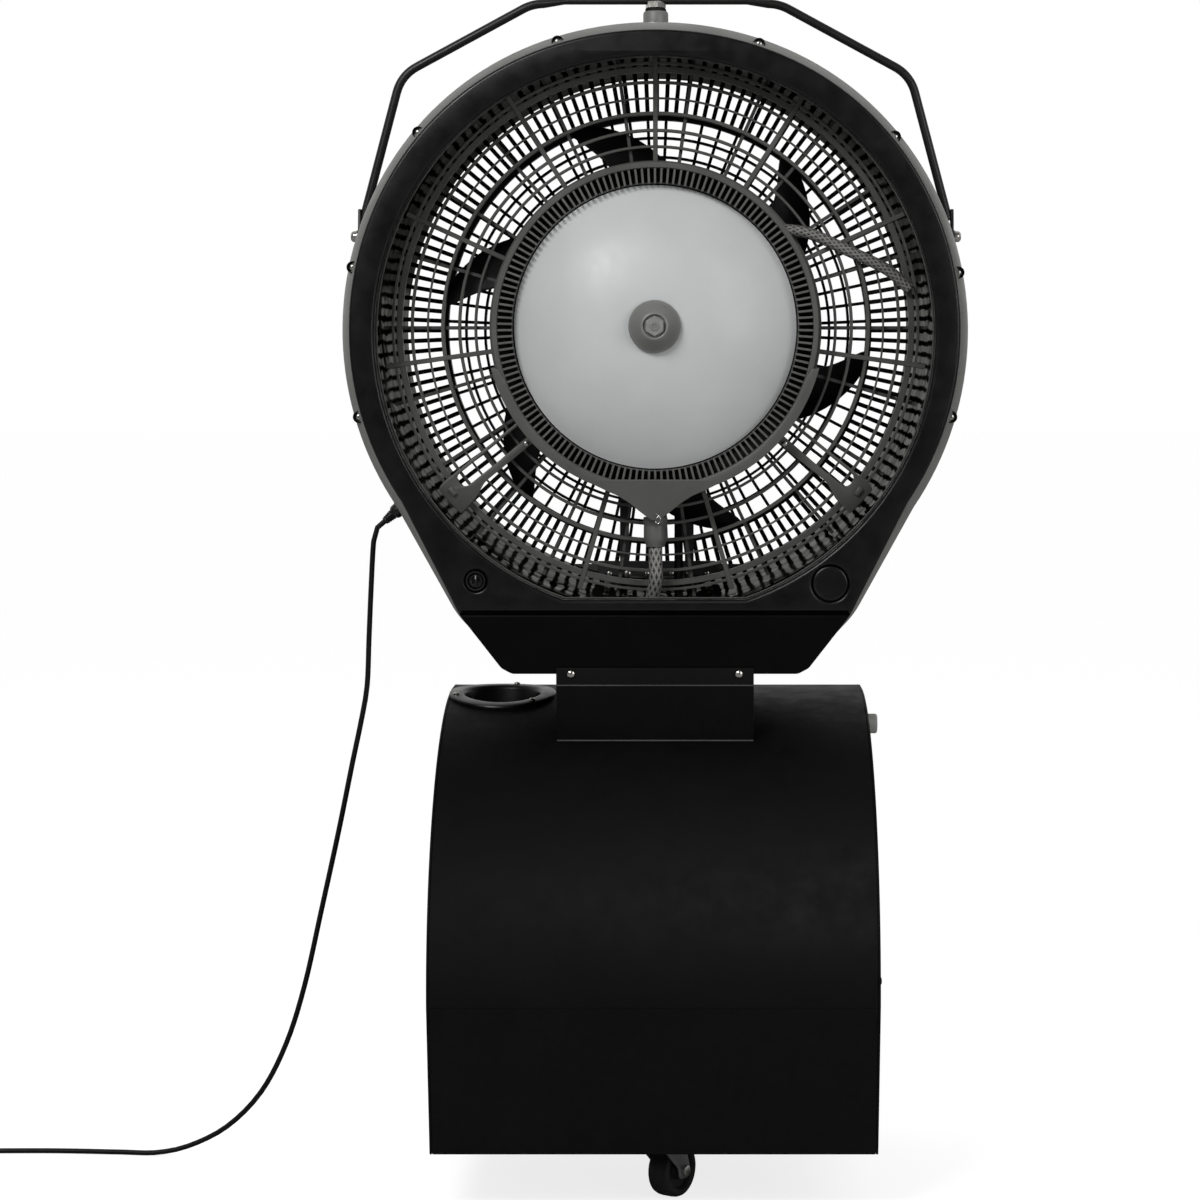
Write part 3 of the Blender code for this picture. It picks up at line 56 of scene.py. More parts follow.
GAP = 0.0003
SHEET = 0.003
HEAD_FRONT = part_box("front_bezel")[0].y
AXIS_Z = middle("comb_ring").z
AXIS_RISE = 0.0062          # the rotor's axis above the casing's middle
HEAD_Z = AXIS_Z - AXIS_RISE
HEAD_RADIUS = 0.406
HEAD_AXIS = (0, HEAD_FRONT, AXIS_Z)
HEAD_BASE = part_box("skirt_cover")[0].z
SKIRT_DROP = HEAD_Z - HEAD_RADIUS - HEAD_BASE
DOME_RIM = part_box("atomiser_dome")[1].y
DOME_RADIUS = 0.1828
COMB_FACE = DOME_RIM - HEAD_FRONT - 0.020   # the comb's face behind the head's front
CREASE_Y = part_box("cabinet_skin")[0].y
CABINET_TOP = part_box("cabinet_skin")[1].z
CABINET_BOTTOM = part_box("cabinet_skin")[0].z
CABINET_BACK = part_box("cabinet_side_left")[1].y
CREASE_Z = 0.2705
CURVE_DEPTH = 0.450
YOKE_Y = middle("yoke").y
YOKE_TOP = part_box("yoke")[1].z
YOKE_BOLT_Z = HEAD_Z + 0.127
CASING_TOP = HEAD_Z + HEAD_RADIUS
CONTROL_PLACE = (-0.2300, -0.3190)          # across and up from the casing's middle
CAP_PLACE = (0.2250, -0.3225)
FLOW_KNOB_PLACE = (CREASE_Y + 0.380, 0.5807)
FILLER_X = -0.2070
FILLER_Y = CREASE_Y + 0.385
CASTER_TURN = radians(-35)
CASTER_TRAIL = 0.028
SOFT_EDGE = radians(32)     # edges sharper than this stay sharp in the shading


# ---------------------------------------------------------------- handling pieces
def hold(*pieces):
    """Selects these pieces alone, with the first one active."""
    bpy.ops.object.select_all(action="DESELECT")
    for piece in pieces:
        piece.select_set(True)
    bpy.context.view_layer.objects.active = pieces[0]
    return pieces[0]


def fix_place(piece):
    """Puts the piece's place into its mesh, so that its object sits at the origin."""
    hold(piece)
    bpy.ops.object.transform_apply(location=True, rotation=True, scale=True)
    return piece


def apply_all(piece):
    hold(piece)
    for modifier in list(piece.modifiers):
        bpy.ops.object.modifier_apply(modifier=modifier.name)
    return piece


def join(pieces, name):
    """Pieces of one finish as one mesh, at the origin."""
    pieces = list(pieces)
    for piece in pieces:
        apply_all(piece)
        fix_place(piece)
    hold(*pieces)
    bpy.ops.object.join()
    pieces[0].name = name
    return pieces[0]


def tidy_faces(piece, doubles=0.00002):
    hold(piece)
    bpy.ops.object.mode_set(mode="EDIT")
    bpy.ops.mesh.select_all(action="SELECT")
    bpy.ops.mesh.remove_doubles(threshold=doubles)
    bpy.ops.mesh.normals_make_consistent(inside=False)
    bpy.ops.object.mode_set(mode="OBJECT")
    return piece


def finish_piece(piece, finish, body="machine", stands_for=(), soft=SOFT_EDGE):
    """Settles the mesh, gives it its finish and hangs it on the body that it moves with."""
    apply_all(piece)
    fix_place(piece)
    if soft:
        bpy.ops.object.shade_smooth_by_angle(angle=soft)
    piece.data.materials.clear()
    piece.data.materials.append(finish)
    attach(piece, body)
    if stands_for:
        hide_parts(*stands_for)
    return piece


def rounded_edges(piece, width, segments=2, limit=35):
    edge = piece.modifiers.new("rounding", "BEVEL")
    edge.width = width
    edge.segments = segments
    edge.limit_method = "ANGLE"
    edge.angle_limit = radians(limit)
    edge.harden_normals = False
    return piece


def block(name, size, centre, rounding=0.0, segments=2, turn=(0, 0, 0)):
    bpy.ops.object.select_all(action="DESELECT")
    bpy.ops.mesh.primitive_cube_add(size=1, location=centre, rotation=turn)
    piece = bpy.context.object
    piece.name = name
    piece.scale = size
    bpy.ops.object.transform_apply(location=False, rotation=False, scale=True)
    return rounded_edges(piece, rounding, segments) if rounding else piece


TURNED_TO = {"X": (0, pi / 2, 0), "Y": (pi / 2, 0, 0), "Z": (0, 0, 0)}


def turned(name, sections, place, axis="Y", sides=96, ring=False, turn=None):
    """A turned piece: a circle drawn out through (radius, height) sections.

    Height runs towards the front on axis Y.  A ring's last section closes on its first one.
    """
    bpy.ops.object.select_all(action="DESELECT")
    radius, height = sections[0]
    bpy.ops.mesh.primitive_circle_add(
        vertices=sides,
        radius=max(radius, 0.0002),
        fill_type="NOTHING" if ring else "NGON",
        location=(0, 0, 0),
    )
    piece = bpy.context.object
    piece.name = name
    bpy.ops.object.mode_set(mode="EDIT")
    bpy.ops.mesh.select_all(action="SELECT")
    bpy.ops.transform.translate(value=(0, 0, height))
    route = [*sections[1:], sections[0]] if ring else sections[1:]
    for next_radius, next_height in route:
        next_radius = max(next_radius, 0.0002)
        bpy.ops.mesh.extrude_region_move(
            TRANSFORM_OT_translate={"value": (0, 0, next_height - height)}
        )
        grow = next_radius / max(radius, 0.0002)
        bpy.ops.transform.resize(value=(grow, grow, 1), center_override=(0, 0, next_height))
        radius, height = next_radius, next_height
    bpy.ops.object.mode_set(mode="OBJECT")
    tidy_faces(piece)
    piece.location = place
    piece.rotation_euler = TURNED_TO[axis] if turn is None else turn
    return fix_place(piece)


def arc(radius, start, end, count, centre=(0.0, 0.0)):
    angles = [start + (end - start) * step / count for step in range(count + 1)]
    return [(centre[0] + radius * cos(a), centre[1] + radius * sin(a)) for a in angles]


def softened(points, radii, steps=6):
    """A closed or open run of corners with its corners rounded; radii match the points."""
    found = []
    count = len(points)
    for index, (point, radius) in enumerate(zip(points, radii)):
        here = Vector(point)
        before = Vector(points[index - 1])
        after = Vector(points[(index + 1) % count])
        if radius <= 0:
            found.append(tuple(here))
            continue
        to_before = (before - here).normalized()
        to_after = (after - here).normalized()
        half = to_before.angle(to_after) / 2
        reach = min(radius / max(1e-6, abs(sin(half) / cos(half))),
                    0.49 * (before - here).length, 0.49 * (after - here).length)
        for step in range(steps + 1):
            share = step / steps
            first = here + to_before * reach * (1 - share)
            second = here + to_after * reach * share
            found.append(tuple(first.lerp(second, share)))
    return found


def flat(name, outlines, thickness, place, plane="XZ", spin=0.0, rounding=0.0, segments=2):
    """A flat piece cut from sheet: the first outline is its edge, the others its holes."""
    line = bpy.data.curves.new(name, "CURVE")
    line.dimensions = "2D"
    line.fill_mode = "BOTH"
    line.extrude = thickness / 2 - rounding
    line.bevel_depth = rounding
    line.bevel_resolution = segments - 1
    line.offset = -rounding
    for outline in outlines:
        run = line.splines.new("POLY")
        run.points.add(len(outline) - 1)
        for point, (across, up) in zip(run.points, outline):
            point.co = (across, up, 0, 1)
        run.use_cyclic_u = True
    piece = bpy.data.objects.new(name, line)
    bpy.context.collection.objects.link(piece)
    hold(piece)
    bpy.ops.object.convert(target="MESH")
    piece = bpy.context.object
    base = {"XY": Matrix(), "XZ": Matrix.Rotation(pi / 2, 4, "X")}.get(plane)
    if base is None:
        base = Matrix.Rotation(pi / 2, 4, "Z") @ Matrix.Rotation(pi / 2, 4, "X")
    piece.matrix_world = Matrix.Translation(place) @ base @ Matrix.Rotation(spin, 4, "Z")
    fix_place(piece)
    return tidy_faces(piece, 0.00001)


def through(points, spacing):
    """Points about every spacing along a smooth curve through the given points."""
    places = [Vector(p) for p in points]
    places = [2 * places[0] - places[1], *places, 2 * places[-1] - places[-2]]
    found = []
    for before, start, end, after in zip(places, places[1:], places[2:], places[3:]):
        count = max(1, round((end - start).length / spacing))
        for step in range(count):
            t = step / count
            found.append(
                0.5
                * (
                    2 * start
                    + (end - before) * t
                    + (2 * before - 5 * start + 4 * end - after) * t**2
                    + (3 * start - before - 3 * end + after) * t**3
                )
            )
    return [*found, places[-2]]


def line_of(name, points, radius, resolution=4):
    """A round bar or hose along the points, still a curve."""
    line = bpy.data.curves.new(name, "CURVE")
    line.dimensions = "3D"
    line.bevel_depth = radius
    line.bevel_resolution = resolution
    line.use_fill_caps = True
    run = line.splines.new("POLY")
    run.points.add(len(points) - 1)
    for point, place in zip(run.points, points):
        point.co = (*place, 1)
    piece = bpy.data.objects.new(name, line)
    bpy.context.collection.objects.link(piece)
    return piece


def round_bar(name, points, radius, resolution):
    """A round bar along the points, as a mesh."""
    hold(line_of(name, points, radius, resolution))
    bpy.ops.object.convert(target="MESH")
    return bpy.context.object


def hose(name, points, radius, sides=20):
    """A tube with its own UV map: U in turns round it, V in metres along it."""
    places = [Vector(p) for p in points]
    rings = []
    side = None
    for index, place in enumerate(places):
        ahead = places[min(index + 1, len(places) - 1)] - places[max(index - 1, 0)]
        ahead.normalize()
        if side is None:
            side = ahead.cross(Vector((0.3, 1, 0.2))).normalized()
        side = (side - ahead * side.dot(ahead)).normalized()
        up = ahead.cross(side)
        rings.append([place + (side * cos(2 * pi * k / sides) + up * sin(2 * pi * k / sides)) * radius
                      for k in range(sides)])
    faces = []
    for index in range(len(rings) - 1):
        for k in range(sides):
            after = (k + 1) % sides
            faces.append((index * sides + k, index * sides + after,
                          (index + 1) * sides + after, (index + 1) * sides + k))
    faces.append(tuple(reversed(range(sides))))
    faces.append(tuple((len(rings) - 1) * sides + k for k in range(sides)))
    mesh = bpy.data.meshes.new(name)
    mesh.from_pydata([tuple(p) for run in rings for p in run], [], faces)
    lengths = [0.0]
    for first, second in zip(places, places[1:]):
        lengths.append(lengths[-1] + (second - first).length)
    layer = mesh.uv_layers.new(name="UVMap")
    for face in mesh.polygons:
        for loop in face.loop_indices:
            vertex = mesh.loops[loop].vertex_index
            turn = (vertex % sides) / sides
            corner = [mesh.loops[i].vertex_index % sides for i in face.loop_indices]
            if turn == 0 and sides - 1 in corner:
                turn = 1.0
            layer.data[loop].uv = (turn, lengths[vertex // sides])
    piece = bpy.data.objects.new(name, mesh)
    bpy.context.collection.objects.link(piece)
    tidy_faces(piece, 0.000001)
    return piece


def copies_round(piece, angles, centre, axis="Y"):
    """Copies of a piece turned about an axis, each with its own mesh; the piece is used up."""
    apply_all(piece)
    fix_place(piece)
    found = []
    for angle in angles:
        extra = piece.copy()
        extra.data = piece.data.copy()
        turn = Matrix.Translation(centre) @ Matrix.Rotation(angle, 4, axis)
        extra.data.transform(turn @ Matrix.Translation(-Vector(centre)))
        bpy.context.collection.objects.link(extra)
        found.append(extra)
    bpy.data.objects.remove(piece, do_unlink=True)
    return found


def hollow(piece, cutter):
    """Cuts the cutter's shape out of the piece; the cutter is used up."""
    change = piece.modifiers.new("hollow", "BOOLEAN")
    change.operation = "DIFFERENCE"
    change.solver = "EXACT"
    change.object = cutter
    apply_all(piece)
    bpy.data.objects.remove(cutter, do_unlink=True)
    return piece


def polar(radius, degrees, y, height=None):
    """A point round the rotor's axis, or round another height on the middle line."""
    angle = radians(degrees)
    base = AXIS_Z if height is None else height
    return Vector((radius * cos(angle), y, base + radius * sin(angle)))


# ---------------------------------------------------------------- finishes
def bare_finish(name, colour, roughness, metallic=0.0, specular=0.5, coat=0.0):
    made = bpy.data.materials.new(name)
    made.use_nodes = True
    tree = made.node_tree
    shader = tree.nodes["Principled BSDF"]
    shader.inputs["Base Color"].default_value = (*colour, 1)
    shader.inputs["Roughness"].default_value = roughness
    shader.inputs["Metallic"].default_value = metallic
    shader.inputs["Specular IOR Level"].default_value = specular
    shader.inputs["Coat Weight"].default_value = coat
    return made, tree, shader


def node(tree, kind, **values):
    made = tree.nodes.new(kind)
    for key, value in values.items():
        if key in made.inputs:
            made.inputs[key].default_value = value
        else:
            setattr(made, key, value)
    return made


def noise(tree, where, scale, detail=3.0, rough=0.55):
    made = node(tree, "ShaderNodeTexNoise")
    made.inputs["Scale"].default_value = scale
    made.inputs["Detail"].default_value = detail
    made.inputs["Roughness"].default_value = rough
    tree.links.new(where, made.inputs["Vector"])
    return made.outputs["Fac"]


def spread(tree, value, low, high, out_low, out_high):
    made = node(tree, "ShaderNodeMapRange")
    made.inputs["From Min"].default_value = low
    made.inputs["From Max"].default_value = high
    made.inputs["To Min"].default_value = out_low
    made.inputs["To Max"].default_value = out_high
    tree.links.new(value, made.inputs["Value"])
    return made.outputs["Result"]


def blend_colours(tree, share, first, second):
    made = node(tree, "ShaderNodeMix", data_type="RGBA")
    for socket, value in ((6, first), (7, second)):
        if isinstance(value, tuple):
            made.inputs[socket].default_value = (*value, 1)
        else:
            tree.links.new(value, made.inputs[socket])
    tree.links.new(share, made.inputs[0])
    return made.outputs[2]


def surface(name, colour, roughness, metallic=0.0, specular=0.5, coat=0.0, grain=900, bump=0.05,
            mottle=0.25, dust=0.0, worn=0.0, spread_by=0.08):
    """A moulded, cast or painted surface: grain, mottling, uneven gloss, dust and worn edges."""
    made, tree, shader = bare_finish(name, colour, roughness, metallic, specular, coat)
    where = node(tree, "ShaderNodeTexCoord").outputs["Object"]
    cloud = noise(tree, where, 9.0, 4.0)
    share = spread(tree, cloud, 0.3, 0.7, 0.0, 1.0)
    dark = tuple(c * (1 - mottle) for c in colour)
    light = tuple(min(1.0, c * (1 + mottle)) for c in colour)
    tint = blend_colours(tree, share, dark, light)
    if worn:
        edge = node(tree, "ShaderNodeNewGeometry").outputs["Pointiness"]
        scratch = noise(tree, where, 60.0, 5.0, 0.7)
        chosen = node(tree, "ShaderNodeMath", operation="MULTIPLY")
        tree.links.new(spread(tree, edge, 0.53, 0.60, 0.0, worn), chosen.inputs[0])
        tree.links.new(spread(tree, scratch, 0.35, 0.65, 0.2, 1.0), chosen.inputs[1])
        pale = tuple(min(1.0, c * 2.5 + 0.05) for c in colour)
        tint = blend_colours(tree, chosen.outputs[0], tint, pale)
    if dust:
        speck = noise(tree, where, 330.0, 2.0, 0.8)
        film = noise(tree, where, 22.0, 5.0, 0.65)
        chosen = node(tree, "ShaderNodeMath", operation="MULTIPLY")
        tree.links.new(spread(tree, speck, 0.45, 0.75, 0.15, 1.0), chosen.inputs[0])
        tree.links.new(spread(tree, film, 0.40, 0.75, 0.0, dust), chosen.inputs[1])
        tint = blend_colours(tree, chosen.outputs[0], tint, (0.30, 0.29, 0.27))
    tree.links.new(tint, shader.inputs["Base Color"])
    smear = noise(tree, where, 31.0, 4.0, 0.6)
    gloss = spread(tree, smear, 0.3, 0.7, max(0.02, roughness - spread_by), roughness + spread_by)
    tree.links.new(gloss, shader.inputs["Roughness"])
    fine = noise(tree, where, grain, 2.0, 0.6)
    rise = node(tree, "ShaderNodeBump")
    rise.inputs["Strength"].default_value = bump
    rise.inputs["Distance"].default_value = 0.0005
    tree.links.new(fine, rise.inputs["Height"])
    tree.links.new(rise.outputs["Normal"], shader.inputs["Normal"])
    return made


def braided(name, dark, light, around, pitch, roughness=0.5, metallic=0.3):
    """A braid of crossing strands that follows the hose: around strands, each pitch metres long."""
    made, tree, shader = bare_finish(name, dark, roughness, metallic)
    uv = node(tree, "ShaderNodeUVMap").outputs["UV"]
    parts = node(tree, "ShaderNodeSeparateXYZ")
    tree.links.new(uv, parts.inputs[0])
    waves = []
    for lean in (1, -1):
        along = node(tree, "ShaderNodeMath", operation="MULTIPLY")
        along.inputs[1].default_value = lean * around / pitch / 4
        tree.links.new(parts.outputs["Y"], along.inputs[0])
        round_it = node(tree, "ShaderNodeMath", operation="MULTIPLY_ADD")
        round_it.inputs[1].default_value = around
        tree.links.new(parts.outputs["X"], round_it.inputs[0])
        tree.links.new(along.outputs[0], round_it.inputs[2])
        saw = node(tree, "ShaderNodeMath", operation="PINGPONG")
        saw.inputs[1].default_value = 0.5
        tree.links.new(round_it.outputs[0], saw.inputs[0])
        waves.append(saw.outputs[0])
    top = node(tree, "ShaderNodeMath", operation="MAXIMUM")
    tree.links.new(waves[0], top.inputs[0])
    tree.links.new(waves[1], top.inputs[1])
    height = spread(tree, top.outputs[0], 0.12, 0.5, 0.0, 1.0)
    tree.links.new(blend_colours(tree, height, dark, light), shader.inputs["Base Color"])
    rise = node(tree, "ShaderNodeBump")
    rise.inputs["Strength"].default_value = 0.8
    rise.inputs["Distance"].default_value = 0.0008
    tree.links.new(height, rise.inputs["Height"])
    tree.links.new(rise.outputs["Normal"], shader.inputs["Normal"])
    return made


def wavy_gloss():
    """Wet black plastic: a dark mirror whose slow waves break up what it reflects."""
    made, tree, shader = bare_finish("wet_duct_plastic", (0.05, 0.05, 0.05), 0.08, metallic=1.0)
    shader.inputs["Specular Tint"].default_value = (0.34, 0.34, 0.33, 1)
    where = node(tree, "ShaderNodeTexCoord").outputs["Object"]
    film = noise(tree, where, 14.0, 3.0)
    share = spread(tree, film, 0.35, 0.7, 0.0, 1.0)
    tint = blend_colours(tree, share, (0.030, 0.030, 0.030), (0.110, 0.110, 0.106))
    tree.links.new(tint, shader.inputs["Base Color"])
    tree.links.new(spread(tree, film, 0.3, 0.7, 0.05, 0.14), shader.inputs["Roughness"])
    waves = noise(tree, where, 14.0, 2.0, 0.5)
    rise = node(tree, "ShaderNodeBump")
    rise.inputs["Strength"].default_value = 1.0
    rise.inputs["Distance"].default_value = 0.0026
    tree.links.new(waves, rise.inputs["Height"])
    tree.links.new(rise.outputs["Normal"], shader.inputs["Normal"])
    return made


CASING_GREY = surface("casing_grey_plastic", (0.205, 0.205, 0.196), 0.44, grain=700, bump=0.10,
                      mottle=0.12, dust=0.06)
FRONT_BLACK = surface("front_black_plastic", (0.0026, 0.0026, 0.0027), 0.33, specular=0.30,
                      grain=1100, bump=0.05, mottle=0.3, dust=0.012, worn=0.05)
SKIRT_BLACK = surface("skirt_black_plastic", (0.0014, 0.0014, 0.0014), 0.42, specular=0.08,
                      grain=1100, bump=0.05, mottle=0.3, dust=0.008)
KNOB_BLACK = surface("knob_black_plastic", (0.0022, 0.0022, 0.0022), 0.28, grain=1300, bump=0.04)
GRILLE_GREY = surface("grille_plastic", (0.072, 0.072, 0.068), 0.42, grain=800, bump=0.08,
                      mottle=0.2, dust=0.20, worn=0.10)
RIB_DARK = surface("grille_dark_plastic", (0.050, 0.050, 0.048), 0.45, grain=800, bump=0.08,
                   mottle=0.2, dust=0.12)
REAR_BLACK = surface("rear_grille_plastic", (0.0030, 0.0030, 0.0030), 0.45, specular=0.3, grain=800,
                     bump=0.06, mottle=0.2, dust=0.015)
COLLECTOR_GREY = surface("collector_plastic", (0.090, 0.090, 0.086), 0.42, grain=650, bump=0.14,
                         mottle=0.10, dust=0.15, worn=0.15)
COMB_GREY = surface("comb_plastic", (0.085, 0.085, 0.081), 0.40, grain=900, bump=0.08,
                    mottle=0.15, dust=0.15, worn=0.25)
# Painted shade: near-black for the well behind the comb's teeth and the ring behind the dome's rim.
COMB_SHADE_DARK = surface("comb_recess_painted_shade", (0.0090, 0.0090, 0.0088), 0.60, specular=0.3, grain=900,
                      bump=0.05)
DUCT_GLOSS = wavy_gloss()
DOME_GREY = surface("dome_plastic", (0.640, 0.648, 0.650), 0.40, specular=0.38, grain=500,
                    bump=0.03, mottle=0.05, dust=0.02)
NOSE_GREY = surface("nose_plastic", (0.215, 0.215, 0.208), 0.34, grain=900, bump=0.06, mottle=0.12,
                    dust=0.05, worn=0.3)
FAN_BLACK = surface("fan_plastic", (0.0022, 0.0022, 0.0022), 0.50, specular=0.25, grain=900,
                    bump=0.05)
SHEET_BLACK = surface("powder_coat", (0.0015, 0.0015, 0.0015), 0.60, specular=0.15, grain=1500,
                      bump=0.20, mottle=0.35, dust=0.006, worn=0.03)
# Painted highlight: a light grey for the bars along the neck plate's bead and fold.
FOLD_HIGHLIGHT = surface("painted_fold_highlight", (0.040, 0.040, 0.040), 0.50, grain=500, bump=0.2, mottle=0.5)
ROD_BLACK = surface("yoke_paint", (0.0050, 0.0050, 0.0048), 0.40, specular=0.4, grain=900,
                    bump=0.08, mottle=0.2, dust=0.02, worn=0.2)
ZINC = surface("zinc_plate", (0.46, 0.45, 0.42), 0.30, metallic=1.0, grain=400, bump=0.08,
               mottle=0.18)
STEEL = surface("turned_steel", (0.38, 0.38, 0.38), 0.26, metallic=1.0, grain=700, bump=0.05,
                mottle=0.12)
MOTOR_DARK = surface("motor_paint", (0.024, 0.024, 0.025), 0.45, metallic=0.2, grain=500,
                     bump=0.15, mottle=0.2, dust=0.08)
POST_DARK = surface("post_paint", (0.030, 0.030, 0.030), 0.45, grain=600, bump=0.1, mottle=0.2,
                    dust=0.05)
RUBBER = surface("rubber", (0.0060, 0.0060, 0.0060), 0.66, specular=0.3, grain=900, bump=0.12)
BOOT_RUBBER = surface("boot_rubber", (0.125, 0.124, 0.120), 0.42, grain=500, bump=0.12, mottle=0.2,
                      dust=0.10)
TYRE = surface("wheel_rubber", (0.0060, 0.0060, 0.0060), 0.55, specular=0.4, grain=700,
               bump=0.15, mottle=0.2, dust=0.05)
FORK_GREY = surface("fork_plate", (0.260, 0.262, 0.264), 0.42, metallic=0.80, grain=600, bump=0.08,
                    mottle=0.2, dust=0.10)
TANK_GREY = surface("tank_plastic", (0.30, 0.31, 0.31), 0.48, grain=300, bump=0.06, mottle=0.1)
LIGHT_KNOB = surface("light_knob_plastic", (0.42, 0.42, 0.40), 0.42, grain=900, bump=0.05,
                     mottle=0.08)
CORD_BLACK = surface("cord_jacket", (0.0022, 0.0022, 0.0022), 0.50, specular=0.25, grain=1200,
                     bump=0.10)
DRAIN_BRAID = braided("drain_braid", (0.030, 0.030, 0.028), (0.400, 0.394, 0.374), 8, 0.030)
LEAD_BRAID = braided("lead_braid", (0.040, 0.040, 0.038), (0.300, 0.294, 0.278), 8, 0.020)


# ---------------------------------------------------------------- camera, floor and light
def set_camera():
    bpy.context.scene.view_settings.view_transform = "Standard"
    data = bpy.data.cameras.new("camera")
    data.sensor_width = 36
    data.lens = 93.75
    data.shift_x = -0.075
    data.clip_start = 0.1
    data.clip_end = 200
    camera = bpy.data.objects.new("camera", data)
    bpy.context.collection.objects.link(camera)
    camera.location = (0.045, -4.06, 1.0394)
    camera.rotation_euler = (radians(90 - 4), 0, 0)
    bpy.context.scene.camera = camera


ROOM_FRONT = 0.10  # how bright the studio is behind the camera
ROOM_BACK = 0.75


def set_stage():
    bpy.ops.object.select_all(action="DESELECT")
    bpy.ops.mesh.primitive_circle_add(vertices=64, radius=60, fill_type="NGON")
    floor = bpy.context.object
    floor.name = "floor"
    made, tree, shader = bare_finish("pale_floor", (0.42, 0.42, 0.42), 0.9, specular=0.1)
    shader.inputs["Emission Color"].default_value = (1, 1, 1, 1)
    seen = node(tree, "ShaderNodeLightPath").outputs["Is Camera Ray"]
    tree.links.new(spread(tree, seen, 0.0, 1.0, 0.0, 0.80), shader.inputs["Emission Strength"])
    floor.data.materials.append(made)
    world = bpy.data.worlds.new("studio")
    bpy.context.scene.world = world
    world.use_nodes = True
    tree = world.node_tree
    tree.nodes.clear()
    out = node(tree, "ShaderNodeOutputWorld")
    where = node(tree, "ShaderNodeTexCoord").outputs["Generated"]
    parts = node(tree, "ShaderNodeSeparateXYZ")
    tree.links.new(where, parts.inputs[0])
    behind = spread(tree, parts.outputs["Y"], -0.45, 0.55, ROOM_FRONT, ROOM_BACK)
    room = node(tree, "ShaderNodeBackground")
    room.inputs["Color"].default_value = (1, 1, 1, 1)
    tree.links.new(behind, room.inputs["Strength"])
    wall = node(tree, "ShaderNodeBackground")
    wall.inputs["Color"].default_value = (1, 1, 1, 1)
    wall.inputs["Strength"].default_value = 1.0
    choice = node(tree, "ShaderNodeMixShader")
    rays = node(tree, "ShaderNodeLightPath")
    tree.links.new(rays.outputs["Is Camera Ray"], choice.inputs[0])
    tree.links.new(room.outputs[0], choice.inputs[1])
    tree.links.new(wall.outputs[0], choice.inputs[2])
    tree.links.new(choice.outputs[0], out.inputs[0])


def softbox(name, place, target, size, power):
    data = bpy.data.lights.new(name, "AREA")
    data.shape = "RECTANGLE"
    data.size, data.size_y = size
    data.energy = power
    lamp = bpy.data.objects.new(name, data)
    bpy.context.collection.objects.link(lamp)
    lamp.location = place
    lamp.rotation_euler = (Vector(target) - Vector(place)).to_track_quat("-Z", "Y").to_euler()


set_camera()
set_stage()
softbox("key", (-1.6, -3.0, 3.2), (0, 0, 1.1), (1.6, 1.2), 84)
softbox("fill", (2.4, -2.6, 1.8), (0, 0, 0.9), (1.4, 1.8), 32)


# ---------------------------------------------------------------- power cord
def eased(value, start, end):
    """0 before the start, 1 past the end, and a soft step between them."""
    share = min(1.0, max(0.0, (value - start) / (end - start)))
    return share * share * (3 - 2 * share)


CORD_RADIUS = 0.0035
GLAND_PLACE = Vector((-0.3330, HEAD_FRONT + 0.100, 0.8760))
GLAND_WAY = Vector((-0.757, 0, -0.653)).normalized()
GLAND_LENGTH = 0.030
COIL_CENTRE = (-0.9600, 0.135)
COIL_RADIUS = 0.0435
COIL_TURNS = 4.25
COIL_POINTS = 102
CORD_LEVEL = 0.0038         # the cord's middle where it lies on the floor
CORD_PITCH = 0.0070         # from one turn or layer of the coil to the next


def make_cord():
    """The cord from its gland down to the floor, along it and round a coil of two layers."""
    exit_point = GLAND_PLACE + GLAND_WAY * (GLAND_LENGTH + GAP)
    hung = [
        exit_point,
        exit_point + GLAND_WAY * 0.006,
        (-0.3655, 0.040, 0.8480),
        (-0.3705, 0.040, 0.8300),
        (-0.3745, 0.040, 0.7646),
        (-0.3776, 0.040, 0.6999),
        (-0.3805, 0.040, 0.6391),
        (-0.3892, 0.040, 0.5900),
        (-0.4000, 0.040, 0.5400),
        (-0.4200, 0.045, 0.4459),
        (-0.4440, 0.050, 0.3408),
        (-0.4690, 0.060, 0.2355),
        (-0.4950, 0.065, 0.1560),
        (-0.5297, 0.070, 0.0900),
        (-0.5765, 0.075, 0.0420),
        (-0.6300, 0.080, 0.0140),
        (-0.6760, 0.083, 0.0042),
        (-0.7188, 0.088, 0.0038),
        (-0.8052, 0.095, 0.0038),
        (-0.8862, 0.095, 0.0038),
        (-0.9200, 0.0930, 0.0038),
    ]
    turns = []
    for step in range(1, COIL_POINTS + 1):
        turn = COIL_TURNS * step / COIL_POINTS
        inwards = CORD_PITCH * (eased(turn, 0.85, 1.15) - eased(turn, 3.0, 3.3))
        radius = COIL_RADIUS - inwards
        angle = -pi / 2 - 2 * pi * turn
        turns.append(Vector((COIL_CENTRE[0] + radius * cos(angle),
                             COIL_CENTRE[1] + radius * sin(angle),
                             CORD_LEVEL + CORD_PITCH * eased(turn, 1.95, 2.2))))
    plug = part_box("power_plug")
    plug_x = (plug[0].x + plug[1].x) / 2
    tail = [
        (-1.0026, 0.1480, 0.0108),
        (-1.0010, 0.1600, 0.0104),
        (plug_x, plug[0].y - 0.0030, 0.0090),
        (plug_x, plug[0].y + 0.0030, 0.0082),
    ]
    lying = [Vector((p.x, p.y, max(p.z, 0.0036))) for p in through(hung, 0.016)]
    points = lying + turns + [Vector(p) for p in tail]
    cord = line_of("mains_cord", points, CORD_RADIUS, 4)
    cord.data.materials.append(CORD_BLACK)
    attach(cord, "machine")
    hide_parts("power_cord", "cord_coil")
    return cord, exit_point


